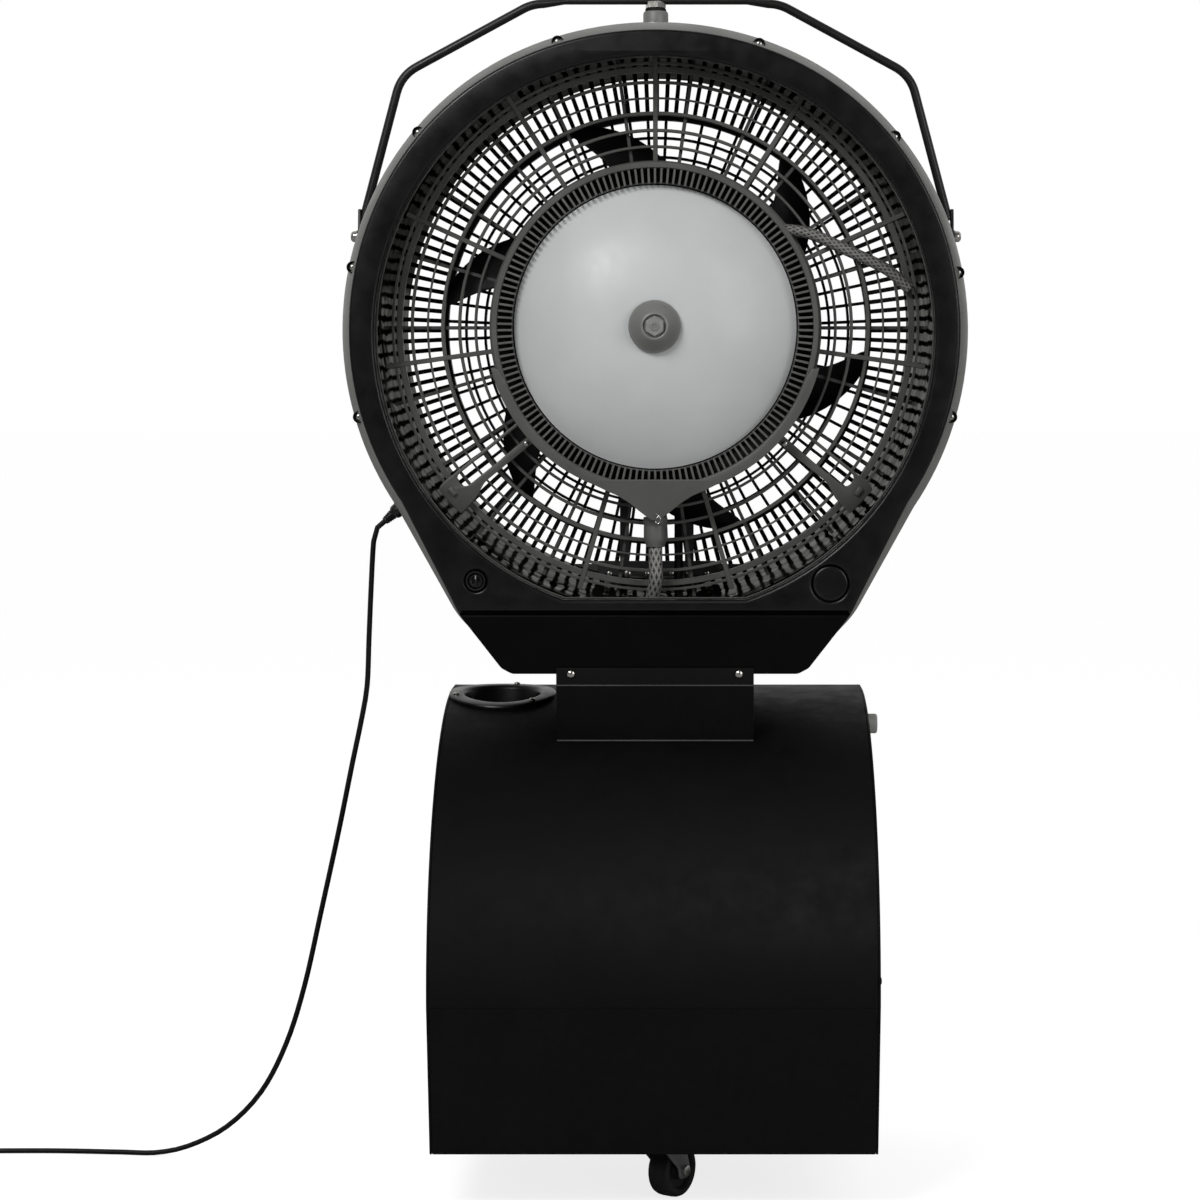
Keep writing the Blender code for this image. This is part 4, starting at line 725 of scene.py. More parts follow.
def make_plug():
    """A plain two-pin plug with a waist and a ribbed strain relief."""
    low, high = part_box("power_plug")
    x, z = (low.x + high.x) / 2, (low.z + high.z) / 2
    shoulder = low.y + 0.022
    length = 0.036
    along = (-pi / 2, 0, 0)
    body = block("plug_body", (high.x - low.x, length, high.z - low.z),
                 (x, shoulder + length / 2, z), 0.0045, 4)
    waist = [block("waist", (0.004, 0.016, 0.020),
                   (x + side * (high.x - low.x) / 2, shoulder + 0.012, z), 0.0019, 3)
             for side in (-1, 1)]
    apply_all(body)
    for cutter in waist:
        apply_all(cutter)
        hollow(body, cutter)
    sleeve = [(0.0039, 0.0), (0.0043, 0.0), (0.0045, 0.0010)]
    for rib in range(4):
        root = 0.0046 + rib * 0.0004
        at = 0.0020 + rib * 0.0042
        sleeve += [(root, at), (root + 0.0009, at + 0.0007), (root + 0.0009, at + 0.0026),
                   (root, at + 0.0032)]
    sleeve += [(0.0066, 0.0200), (0.0072, 0.0235)]
    relief = turned("plug_relief", sleeve, (x, low.y, z), sides=32, turn=along)
    plug = join([body, relief], "mains_plug")
    finish_piece(plug, CORD_BLACK, stands_for=("power_plug",))
    tip = high.y - shoulder
    pins = [turned("plug_pin", [(0.0022, 0.0340), (0.0022, tip - 0.0022), (0.0020, tip - 0.0008),
                                (0.0011, tip)],
                   (x + side * 0.0095, shoulder, z), sides=20, turn=along) for side in (-1, 1)]
    blades = finish_piece(join(pins, "plug_pins"), STEEL)
    return plug, blades


def make_gland():
    """The ribbed sleeve and its nut where the cord leaves the casing."""
    turn = GLAND_WAY.to_track_quat("Z", "Y").to_euler()
    sleeve = [(0.0036, 0.0300), (0.0048, 0.0300), (0.0050, 0.0290)]
    for ring in range(4):
        top = 0.0275 - ring * 0.0030
        sleeve += [(0.0050 + ring * 0.0004, top), (0.0058 + ring * 0.0004, top - 0.0006),
                   (0.0058 + ring * 0.0004, top - 0.0018), (0.0050 + ring * 0.0004, top - 0.0024)]
    sleeve += [(0.0072, 0.0150), (0.0088, 0.0130), (0.0095, 0.0105), (0.0095, 0.0050), (0.0062, 0.0046),
               (0.0062, -0.0100)]
    boot = turned("gland_sleeve", list(reversed(sleeve)), GLAND_PLACE, sides=32, turn=turn)
    nut = turned("gland_nut", [(0.0112, 0.0006), (0.0118, 0.0012), (0.0118, 0.0044),
                               (0.0112, 0.0050)], GLAND_PLACE, sides=6, turn=turn)
    finish_piece(join([boot, nut], "cord_gland_boot"), KNOB_BLACK, stands_for=("cord_gland",))


mains_cord, cord_exit = make_cord()
plug_body, plug_pins = make_plug()
make_gland()


# ---------------------------------------------------------------- casings of the head
FRONT_FLATTER = 0.0265      # how much flatter than a circle each top is
CASING_FLATTER = 0.0205
OPENING_FLATTER = 0.026
FRONT_MARGIN = 0.015        # the black front inside the casing's edge
FRONT_DEPTH = 0.030
SIDES_IN = 0.9985           # keeps the casing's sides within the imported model
OPENING_RADIUS = 0.3585
OPENING_DROP = 0.0045       # the round opening's middle below the casing's
OPENING_SILL = 0.3435
SEAM_Z = -0.3616
SEAM_GAP = 0.0006


def head_outline(arc_steps=120):
    """The casing's outline about its middle, anticlockwise from the right foot, as (x, z)."""
    base = HEAD_RADIUS + SKIRT_DROP
    foot = (0.198, -(base - 0.0065))
    reach = hypot(*foot)
    tangent = atan2(foot[1], foot[0]) + asin(sqrt(reach**2 - HEAD_RADIUS**2) / reach)
    touch = (HEAD_RADIUS * cos(tangent), HEAD_RADIUS * sin(tangent))
    knee = (foot[0] + 0.36 * (touch[0] - foot[0]) + 0.014 * cos(tangent),
            foot[1] + 0.36 * (touch[1] - foot[1]) + 0.014 * sin(tangent))
    side = softened([(0.0, -base), (0.184, -base), foot, knee, touch], [0, 0.016, 0.016, 0.12, 0], 8)
    side = side[1:-1]
    top = arc(HEAD_RADIUS, tangent, pi / 2, arc_steps // 2)
    right = [*side, *top]
    left = [(-x, z) for x, z in reversed(right[:-1])]
    return [*right, *left]


def lowered(z, share):
    """A height on the head's front whose top is flatter than a circle."""
    return z * (1 - share * max(0.0, z / HEAD_RADIUS) ** 4)


def front_outline():
    """The black front's outline: the casing's, drawn in by a margin that runs out at the foot."""
    base = -(HEAD_RADIUS + SKIRT_DROP)
    found = []
    for x, z in head_outline():
        margin = FRONT_MARGIN * min(1.0, (z - base) / 0.120)
        share = 1 - margin / hypot(x, z)
        found.append((x * share, lowered(z * share, FRONT_FLATTER)))
    return found


def clipped(outline, level, keep_above):
    """The part of a closed outline above or below a level."""
    found = []
    for (x0, z0), (x1, z1) in zip(outline, [*outline[1:], outline[0]]):
        inside0 = (z0 >= level) == keep_above
        inside1 = (z1 >= level) == keep_above
        if inside0:
            found.append((x0, z0))
        if inside0 != inside1:
            share = (level - z0) / (z1 - z0)
            found.append((x0 + share * (x1 - x0), level))
    return found


def make_casing():
    """The grey shell behind the front: outlines at stations (behind the front, share of full size)."""
    stations = ((0.0303, 0.964), (0.0306, 0.969), (0.0330, 0.976), (0.0390, 0.986),
                (0.0480, 0.994), (0.0600, 0.999), (0.070, 1.0),
                (0.110, 1.0), (0.170, 0.990), (0.210, 0.972), (0.250, 0.946), (0.280, 0.922),
                (0.293, 0.910), (0.2985, 0.903), (0.3005, 0.893))
    outline = head_outline()
    loops = []
    for back, share in stations:
        flatter = FRONT_FLATTER + (CASING_FLATTER - FRONT_FLATTER) * eased(back, 0.030, 0.060)
        loops.append([(x * share * SIDES_IN, HEAD_FRONT + back, HEAD_Z + lowered(z * share, flatter))
                      for x, z in outline])
    last = HEAD_FRONT + stations[-1][0]
    rim = []
    for x, z in outline:
        shrink = 0.346 / hypot(x, z - AXIS_RISE)
        rim.append((x * shrink, last, AXIS_Z + (z - AXIS_RISE) * shrink))
    loops.append(rim)
    count = len(outline)
    faces = []
    for row in range(len(loops) - 1):
        for k in range(count):
            after = (k + 1) % count
            faces.append((row * count + k, row * count + after, (row + 1) * count + after,
                          (row + 1) * count + k))
    mesh = bpy.data.meshes.new("grey_casing")
    mesh.from_pydata([p for loop in loops for p in loop], [], faces)
    casing = bpy.data.objects.new("grey_casing", mesh)
    bpy.context.collection.objects.link(casing)
    tidy_faces(casing)
    wall = casing.modifiers.new("wall", "SOLIDIFY")
    wall.thickness = SHEET
    wall.offset = -1
    wall.use_even_offset = True
    finish_piece(casing, CASING_GREY, stands_for=("rear_housing",), soft=radians(40))
    wells = []
    screws = []
    for degrees in (70, 108.6, 39, 140, 11, 168, -16, 196, -43, 223):
        reach = 0.3972 - 0.0090 * max(0.0, sin(radians(degrees))) ** 4
        spot = polar(reach, degrees, HEAD_FRONT + 0.0400, HEAD_Z)
        well = turned("well", [(0.0078, -0.0060), (0.0078, 0.0062), (0.0070, 0.0070),
                               (0.0064, 0.0062), (0.0060, 0.0030), (0.0010, 0.0030)], spot, "Y", 32)
        wells.append(well)
        screws.append(screw_head("casing_screw", spot - Vector((0, 0.0028, 0)), 0.0042, "Y"))
    finish_piece(join(wells, "casing_screw_wells"), FRONT_BLACK)
    finish_piece(join(screws, "casing_screws"), ZINC)


def screw_head(name, place, radius, axis, turn=None):
    """A pan head with a cross recess."""
    pan = turned(name, [(radius * 0.92, 0.0), (radius, radius * 0.25), (radius * 0.92, radius * 0.52),
                        (radius * 0.62, radius * 0.72), (radius * 0.30, radius * 0.78)],
                 (0, 0, 0), "Z", 24)
    cross = [block("recess", (radius * 0.80, radius * 0.16, radius * 0.3), (0, 0, radius * 0.78)),
             block("recess", (radius * 0.16, radius * 0.80, radius * 0.3), (0, 0, radius * 0.78))]
    for bar in cross:
        hollow(pan, bar)
    pan.rotation_euler = TURNED_TO[axis] if turn is None else turn
    pan.location = place
    return fix_place(pan)


def make_front():
    """The black front, its skirt below the seam, the lip at the duct and the blank cap."""
    corner = asin(-(OPENING_SILL - OPENING_DROP) / OPENING_RADIUS)
    round_edge = arc(OPENING_RADIUS, corner, pi - corner, 120, (0.0, -OPENING_DROP))
    inner_edge = arc(OPENING_RADIUS - 0.0017, corner, pi - corner, 120, (0.0, -OPENING_DROP))
    opening = [(x, lowered(z, OPENING_FLATTER)) for x, z in round_edge]
    pocket = arc(0.0134, 0, 2 * pi, 32, CONTROL_PLACE)[:-1]
    socket = arc(0.0230, 0, 2 * pi, 40, CAP_PLACE)[:-1]
    centre = (0, HEAD_FRONT + FRONT_DEPTH / 2, HEAD_Z)
    outline = clipped(front_outline(), SEAM_Z, True)
    bezel = flat("black_front", [outline, opening, pocket, socket], FRONT_DEPTH, centre,
                 rounding=0.0045, segments=4)
    finish_piece(bezel, FRONT_BLACK, stands_for=("front_bezel",),
                 soft=radians(40))
    outline = clipped(front_outline(), SEAM_Z - SEAM_GAP, False)
    skirt = flat("black_skirt", [outline], FRONT_DEPTH, centre, rounding=0.0025, segments=3)
    finish_piece(skirt, SKIRT_BLACK, stands_for=("skirt_cover",),
                 soft=radians(40))
    lip = flat("duct_lip", [round_edge, inner_edge], 0.006, (0, HEAD_FRONT + 0.0285, HEAD_Z),
               rounding=0.0005)
    finish_piece(lip, GRILLE_GREY)
    cap = turned("round_cap", [(0.0224, -0.016), (0.0224, -0.0008), (0.0218, 0.0006), (0.0205, 0.0012),
                               (0.0198, 0.0010), (0.0150, 0.0011), (0.0090, 0.0012),
                               (0.0030, 0.0012)],
                 (CAP_PLACE[0], HEAD_FRONT, HEAD_Z + CAP_PLACE[1]), "Y", 48)
    finish_piece(cap, FRONT_BLACK, stands_for=("blank_cap",))


def make_control():
    x, z = CONTROL_PLACE[0], HEAD_Z + CONTROL_PLACE[1]
    socket = turned("control_ring", [(0.0100, -0.020), (0.0130, -0.020), (0.0130, 0.0020),
                                     (0.0124, 0.0030), (0.0110, 0.0032), (0.0103, 0.0026),
                                     (0.0100, 0.0010)], (x, HEAD_FRONT, z), "Y", 48, ring=True)
    finish_piece(socket, KNOB_BLACK, stands_for=("control_socket",))
    knob = turned("control_button", [(0.0094, -0.0195), (0.0094, -0.0030), (0.0088, -0.0016),
                                     (0.0060, -0.0012), (0.0045, -0.0022), (0.0010, -0.0024)],
                  (x, HEAD_FRONT, z), "Y", 40)
    ridge = block("control_ridge", (0.0040, 0.0040, 0.0165), (x, HEAD_FRONT - 0.0002, z), 0.0012, 3)
    knob = join([knob, ridge], "control_button")
    finish_piece(knob, KNOB_BLACK, "control_knob", ("control_knob",))
    pip = block("control_pip", (0.0012, 0.0010, 0.0045), (x, HEAD_FRONT - 0.0020, z + 0.0045), 0.0003)
    finish_piece(pip, LIGHT_KNOB, "control_knob")


def make_duct():
    front, rear = 0.0303, 0.2971
    sections = [(0.3695, -front), (0.3670, -front), (0.3660, -front - 0.004)]
    for step in range(1, 9):
        share = step / 8
        sections.append((0.367 - 0.026 * share, -(front + (rear - front) * share)))
    sections += [(0.3435, -rear)]
    duct = turned("wet_duct", sections, HEAD_AXIS, "Y", 160, ring=True)
    finish_piece(duct, DUCT_GLOSS, stands_for=("air_duct",), soft=radians(40))


# ---------------------------------------------------------------- grilles
def ring_bar(name, radius, width, front, depth, sides=160):
    """A flat ring about the rotor axis, its front edge at the given distance behind the face."""
    low, high = radius - width / 2, radius + width / 2
    soft = min(0.0006, width / 4)
    sections = [(low, -front - depth), (high, -front - depth), (high, -front - soft),
                (high - soft, -front), (low + soft, -front), (low, -front - soft)]
    return turned(name, sections, HEAD_AXIS, "Y", sides, ring=True)


def spoke(name, inner, outer, width, front, depth):
    """A straight radial bar along +X from the rotor axis."""
    return block(name, (outer - inner, depth, width),
                 ((inner + outer) / 2, HEAD_FRONT + front + depth / 2, AXIS_Z), 0.0006, 1)


def make_front_grille():
    rings = [ring_bar("ring", r, w, 0.0960, d) for r, w, d in (
        (0.2150, 0.0038, 0.008), (0.2350, 0.0036, 0.008), (0.2560, 0.0040, 0.008),
        (0.2780, 0.0045, 0.009), (0.2975, 0.0024, 0.007), (0.3180, 0.0038, 0.008),
        (0.3345, 0.0075, 0.011), (0.3430, 0.0034, 0.008))]
    ribs = 11
    pitch = 2 * pi / ribs
    first = -pi / 2
    main = spoke("rib", 0.2080, 0.3560, 0.0062, 0.0945, 0.010)
    light = copies_round(main, [first + k * pitch for k in range(ribs)], HEAD_AXIS)
    grille = join([*rings, *light], "front_guard")
    finish_piece(grille, GRILLE_GREY, stands_for=("front_grille",))
    minor = spoke("rib", 0.2080, 0.3560, 0.0046, 0.1040, 0.006)
    angles = [first + k * pitch + side * pitch / 4 for k in range(ribs) for side in (-1, 1)]
    dark = join(copies_round(minor, angles, HEAD_AXIS), "front_guard_ribs")
    finish_piece(dark, RIB_DARK)


def make_rear_grille():
    front = 0.3010
    rings = [ring_bar("ring", r, w, front, d) for r, w, d in (
        (0.1080, 0.0040, 0.012), (0.1450, 0.0040, 0.012), (0.1820, 0.0040, 0.012),
        (0.2190, 0.0034, 0.012), (0.2360, 0.0034, 0.012), (0.2620, 0.0034, 0.012),
        (0.2900, 0.0080, 0.016), (0.3485, 0.0070, 0.0185))]
    plate = turned("hub_plate", [(0.0740, -0.3010), (0.0760, -0.3030), (0.0760, -0.3160),
                                 (0.0745, -0.3175), (0.0690, -0.3175), (0.0675, -0.3160),
                                 (0.0480, -0.3160), (0.0465, -0.3175), (0.0420, -0.3175),
                                 (0.0405, -0.3160), (0.0180, -0.3160), (0.0160, -0.3175),
                                 (0.0040, -0.3175)], HEAD_AXIS, "Y", 96)
    bars = []
    for inner, outer, width, count, shift in ((0.2930, 0.3460, 0.0058, 144, 0.0),
                                              (0.1440, 0.2880, 0.0042, 72, 0.5),
                                              (0.0740, 0.1460, 0.0042, 36, 0.5)):
        bars += copies_round(spoke("bar", inner, outer, width, front, 0.010),
                             [2 * pi * (k + shift) / count for k in range(count)], HEAD_AXIS)
    guard = join([*rings, plate, *bars], "rear_guard")
    finish_piece(guard, REAR_BLACK, stands_for=("rear_grille",))


# ---------------------------------------------------------------- atomiser
def make_dome():
    height = 0.060
    outer = []
    for step in range(29):
        radius = 0.0083 + (DOME_RADIUS - 0.0083) * (step / 28)
        outer.append((radius, height * (1 - (radius / DOME_RADIUS) ** 2.4)))
    sections = [*outer[:-1], (DOME_RADIUS, 0.0012), (DOME_RADIUS, 0.0), (DOME_RADIUS - 0.003, 0.0)]
    sections += [(r * 0.985, h - 0.003) for r, h in reversed(outer[2:-3])]
    sections.append((0.0083, height - 0.0035))
    dome = turned("mist_dome", sections, (0, DOME_RIM, AXIS_Z), "Y", 128, ring=True)
    finish_piece(dome, DOME_GREY, "rotor", ("atomiser_dome",), radians(60))
    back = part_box("nose_cone")[1].y
    nose = turned("nose", [(0.0335, 0.0), (0.0337, 0.0010), (0.0335, 0.0040), (0.0322, 0.0072),
                           (0.0292, 0.0118), (0.0250, 0.0168), (0.0212, 0.0212), (0.0188, 0.0240),
                           (0.0172, 0.0254), (0.0158, 0.0259), (0.0149, 0.0256), (0.0147, 0.0222)],
                  (0, back, AXIS_Z), "Y", 96)
    finish_piece(nose, NOSE_GREY, "rotor", ("nose_cone",))
    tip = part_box("nose_nut")[1].y
    nut = turned("nut", [(0.0118, 0.0), (0.0131, 0.0006), (0.0131, 0.0052), (0.0122, 0.0060)],
                 (0, tip, AXIS_Z), "Y", 6)
    boss = turned("boss", [(0.0062, 0.0), (0.0062, 0.0068), (0.0054, 0.0074), (0.0030, 0.0074),
                           (0.0024, 0.0066)], (0, tip, AXIS_Z), "Y", 40)
    finish_piece(join([nut, boss], "nose_hexagon"), NOSE_GREY, "rotor", ("nose_nut",))


def make_comb():
    """The ring of 150 teeth round the dome, with the well behind them painted near-black as shade."""
    face = COMB_FACE
    count = 150
    rim = turned("rim", [(0.2040, -face - 0.004), (0.2046, -face - 0.0004), (0.2060, -face),
                         (0.2104, -face), (0.2112, -face - 0.0008), (0.2112, -face - 0.040),
                         (0.2040, -face - 0.040)], HEAD_AXIS, "Y", 160, ring=True)
    hoop = turned("hoop", [(0.1862, -face - 0.016), (0.1862, -face - 0.040), (0.1846, -face - 0.040),
                           (0.1846, -face - 0.016)], HEAD_AXIS, "Y", 160, ring=True)
    tooth = block("tooth", (0.0200, 0.020, 0.0030), (0.1945, HEAD_FRONT + face + 0.0125, AXIS_Z),
                  0.0005, 1)
    teeth = copies_round(tooth, [2 * pi * (k + 0.5) / count for k in range(count)], HEAD_AXIS)
    comb = join([rim, hoop, *teeth], "comb")
    finish_piece(comb, COMB_GREY, stands_for=("comb_ring",))
    # The well and the ring behind the dome's rim are painted shade, near-black where the teeth and the dome
    # shade them.
    well = turned("well", [(0.2042, -face - 0.024), (0.2042, -face - 0.027), (0.1860, -face - 0.027),
                           (0.1860, -face - 0.024)], HEAD_AXIS, "Y", 128, ring=True)
    shade = turned("shade", [(0.1764, -face - 0.0290), (0.1764, -face - 0.0310),
                             (0.1864, -face - 0.0310), (0.1864, -face - 0.0290)],
                   HEAD_AXIS, "Y", 128, ring=True)
    finish_piece(join([well, shade], "comb_well"), COMB_SHADE_DARK)


def make_collector():
    """The crescent under the comb that drains into its pointed funnel, and the wire clip on it."""
    face = COMB_FACE
    start, funnel = radians(-166), radians(-111)
    outer = arc(0.2180, start, funnel, 40)
    run = [(-0.0650, -0.2100), (-0.0480, -0.2175), (-0.0330, -0.2270), (-0.0190, -0.2385),
           (-0.0085, -0.2465), (-0.0040, -0.2490)]
    left_out = [*outer, *run]
    right_out = [(-x, z) for x, z in reversed(left_out)]
    chord = 0.1964
    meet = acos(chord / 0.2052)
    inner_left = arc(0.2052, -pi / 2 - meet, radians(-160), 30)
    inner_left.append((0.2090 * cos(radians(-165)), 0.2090 * sin(radians(-165))))
    inner_right = [(-x, z) for x, z in reversed(inner_left)]
    outline = [*left_out, *right_out, *inner_right, *inner_left]
    plate = flat("catcher", [outline], 0.0036, (0, HEAD_FRONT + face - 0.0021, AXIS_Z),
                 rounding=0.0008, segments=2)
    wall_out = [*left_out, *right_out]
    wall_in = [(x * 0.987, z * 0.985) for x, z in reversed(wall_out)]
    gutter = flat("gutter", [[*wall_out, *wall_in]], 0.020, (0, HEAD_FRONT + face + 0.0098, AXIS_Z),
                  rounding=0.0004, segments=1)
    tab = block("tab", (0.0075, 0.003, 0.010), (0.0035, HEAD_FRONT + face - 0.0020, AXIS_Z - 0.2480),
                0.0008)
    catcher = join([plate, gutter, tab], "drip_catcher")
    finish_piece(catcher, COLLECTOR_GREY, stands_for=("drip_collector",),
                 soft=radians(40))
    clip_points = [(0.0010, -0.2395), (0.0050, -0.2420), (0.0085, -0.2450), (0.0095, -0.2490),
                   (0.0070, -0.2525), (0.0030, -0.2530), (0.0012, -0.2500), (0.0030, -0.2460),
                   (0.0075, -0.2430)]
    wire = through([(x * 0.7, HEAD_FRONT + face - 0.0052, AXIS_Z + z) for x, z in clip_points], 0.001)
    finish_piece(round_bar("wire_clip", wire, 0.0004, 2), ZINC)


ARM_FRONT = 0.0803
ARM_DEGREES = 38.8          # below the level
ARM_RAIL = -0.0119          # the broad lower rail, across the arm


def arm_screw_place(degrees, side):
    """On the arm's lower rail, near the comb."""
    angle = radians(degrees)
    out, down = 0.2260, side * ARM_RAIL
    return Vector((out * cos(angle) - down * sin(angle), HEAD_FRONT + ARM_FRONT - 0.0002,
                   AXIS_Z + out * sin(angle) + down * cos(angle)))


def make_arms():
    """Two slotted arms with a shoe at the duct; they carry the comb."""
    front = ARM_FRONT
    for name, degrees, side in (("arm_right", -ARM_DEGREES, 1), ("arm_left", 180 + ARM_DEGREES, -1)):
        outline = softened(
            [(0.197, -0.0168), (0.300, -0.0168), (0.322, -0.0260), (0.350, -0.0300),
             (0.354, 0.0150), (0.340, 0.0168), (0.197, 0.0168)],
            [0.002, 0.03, 0.02, 0.003, 0.008, 0.02, 0.002], 5)
        slot = softened([(0.214, -0.0070), (0.326, -0.0070), (0.326, 0.0128),
                         (0.214, 0.0128)], [0.004, 0.0097, 0.0097, 0.004], 6)
        outline = [(out, side * across) for out, across in outline]
        slot = [(out, side * across) for out, across in slot]
        arm = flat("arm", [outline, slot], 0.0050, (0, HEAD_FRONT + front + 0.0025, AXIS_Z),
                   spin=radians(degrees), rounding=0.0010, segments=2)
        rails = []
        for level, width in ((ARM_RAIL, 0.0080), (0.0148, 0.0044)):
            rail = block("rail", (0.122, 0.012, width),
                         (0.266, HEAD_FRONT + front + 0.0065, AXIS_Z + side * level), 0.0010, 2)
            rails += copies_round(rail, [-radians(degrees)], (0, 0, AXIS_Z))
        foot = softened([(0.328, -0.0230), (0.350, -0.0280), (0.354, -0.0080), (0.350, 0.0140),
                         (0.338, 0.0140)], [0.004, 0.004, 0.003, 0.004, 0.004], 5)
        foot = [(out, side * across) for out, across in foot]
        shoe = [flat("shoe", [foot], 0.020, (0, HEAD_FRONT + front + 0.012, AXIS_Z),
                     spin=radians(degrees), rounding=0.0016, segments=3)]
        catch = block("catch", (0.007, 0.008, 0.012), (0.3400, HEAD_FRONT + front - 0.0010, AXIS_Z),
                      0.0015, 2)
        catch = copies_round(catch, [-radians(degrees)], (0, 0, AXIS_Z))
        whole = join([arm, *rails, *shoe, *catch], f"{name}_bracket")
        finish_piece(whole, GRILLE_GREY, stands_for=(name,))
        screw = screw_head(f"{name}_screw", arm_screw_place(degrees, side), 0.0036, "Y")
        finish_piece(screw, ZINC)


# ---------------------------------------------------------------- fan and motor
def make_fan():
    back = 0.168
    blades = []
    for index in range(6):
        rows, columns = 22, 15
        points = []
        for row in range(rows):
            share = sqrt(row / (rows - 1))
            radius = 0.045 + (0.285 - 0.045) * share
            chord = 0.090 * sqrt(max(0.045, 1 - share**6))
            pitch = radians(34) + (radians(22) - radians(34)) * share
            for column in range(columns):
                along = chord * (column / (columns - 1) - 0.5)
                angle = along * cos(pitch) / radius + radians(30) * (radius / 0.285) ** 3
                camber = 0.06 * chord * (1 - (2 * along / chord) ** 2)
                points.append((radius * cos(angle), radius * sin(angle),
                               along * sin(pitch) + camber))
        faces = [(r * columns + c, (r + 1) * columns + c, (r + 1) * columns + c + 1,
                  r * columns + c + 1) for r in range(rows - 1) for c in range(columns - 1)]
        mesh = bpy.data.meshes.new("blade")
        mesh.from_pydata(points, [], faces)
        blade = bpy.data.objects.new("blade", mesh)
        bpy.context.collection.objects.link(blade)
        blade.matrix_world = (Matrix.Translation((0, HEAD_FRONT + back, AXIS_Z))
                              @ Matrix.Rotation(pi / 2, 4, "X")
                              @ Matrix.Rotation(radians(22.5 + 60 * index), 4, "Z"))
        wall = blade.modifiers.new("wall", "SOLIDIFY")
        wall.thickness = 0.0030
        wall.offset = 0
        blades.append(rounded_edges(blade, 0.0010, 2, 50))
    hub = turned("hub", [(0.0083, -0.025), (0.0500, -0.025), (0.0545, -0.022), (0.0550, -0.018),
                         (0.0550, 0.018), (0.0535, 0.0225), (0.0490, 0.025), (0.0300, 0.025),
                         (0.0270, 0.0215), (0.0180, 0.0215), (0.0160, 0.025), (0.0083, 0.025)],
                 (0, HEAD_FRONT + back, AXIS_Z), "Y", 64, ring=True)
    fan = join([hub, *blades], "six_blade_fan")
    finish_piece(fan, FAN_BLACK, "rotor", ("fan",), radians(40))


def make_motor():
    low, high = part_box("motor_shell")
    front, rear = low.y - HEAD_FRONT, high.y - HEAD_FRONT
    shell = [(0.0083, -front), (0.0300, -front), (0.0330, -front - 0.0015), (0.0600, -front - 0.0015),
             (0.0680, -front - 0.004), (0.0730, -front - 0.010), (0.0735, -front - 0.012)]
    ribs = 9
    for rib in range(ribs):
        at = front + 0.014 + rib * (rear - front - 0.020) / ribs
        shell += [(0.0720, -at), (0.0748, -at - 0.0012), (0.0748, -at - 0.0034), (0.0720, -at - 0.0046)]
    shell += [(0.0735, -rear + 0.003), (0.0745, -rear), (0.0708, -rear), (0.0708, -front - 0.012),
              (0.0083, -front - 0.010)]
    body = turned("motor_case", shell, (0, HEAD_FRONT, AXIS_Z), "Y", 72, ring=True)
    finish_piece(body, MOTOR_DARK, stands_for=("motor_shell",))
    low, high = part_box("motor_rear_cap")
    front, rear = low.y - HEAD_FRONT, high.y - HEAD_FRONT
    cap = turned("motor_end", [(0.0083, -front), (0.0745, -front), (0.0748, -front - 0.004),
                               (0.0700, -front - 0.0065), (0.0610, -front - 0.0080), (0.0560, -rear),
                               (0.0300, -rear), (0.0280, -rear + 0.002), (0.0160, -rear + 0.002),
                               (0.0140, -rear), (0.0083, -rear)],
                 (0, HEAD_FRONT, AXIS_Z), "Y", 72, ring=True)
    finish_piece(cap, MOTOR_DARK, stands_for=("motor_rear_cap",))
    bolts = [screw_head("motor_bolt", polar(0.0655, 45 + 90 * k, HEAD_FRONT + rear - 0.0035), 0.0034,
                        "Y", (-pi / 2, 0, 0)) for k in range(4)]
    finish_piece(join(bolts, "motor_bolts"), ZINC)


def make_stand_screws():
    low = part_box("motor_cross_bar")[0]
    face = low.y
    screws = []
    level = AXIS_Z - 0.330
    for x, size in ((-0.0395, 0.0052), (0.0440, 0.0052), (-0.0640, 0.0040), (-0.0135, 0.0036),
                    (0.0200, 0.0036), (0.0680, 0.0042)):
        screws.append(screw_head("stand_screw", (x, face, level), size, "Y"))
    finish_piece(join(screws, "stand_screws"), ZINC)


make_casing()
make_front()
make_control()
make_duct()
make_front_grille()
make_rear_grille()
make_dome()
make_comb()
make_collector()
make_arms()
make_fan()
make_motor()
make_stand_screws()


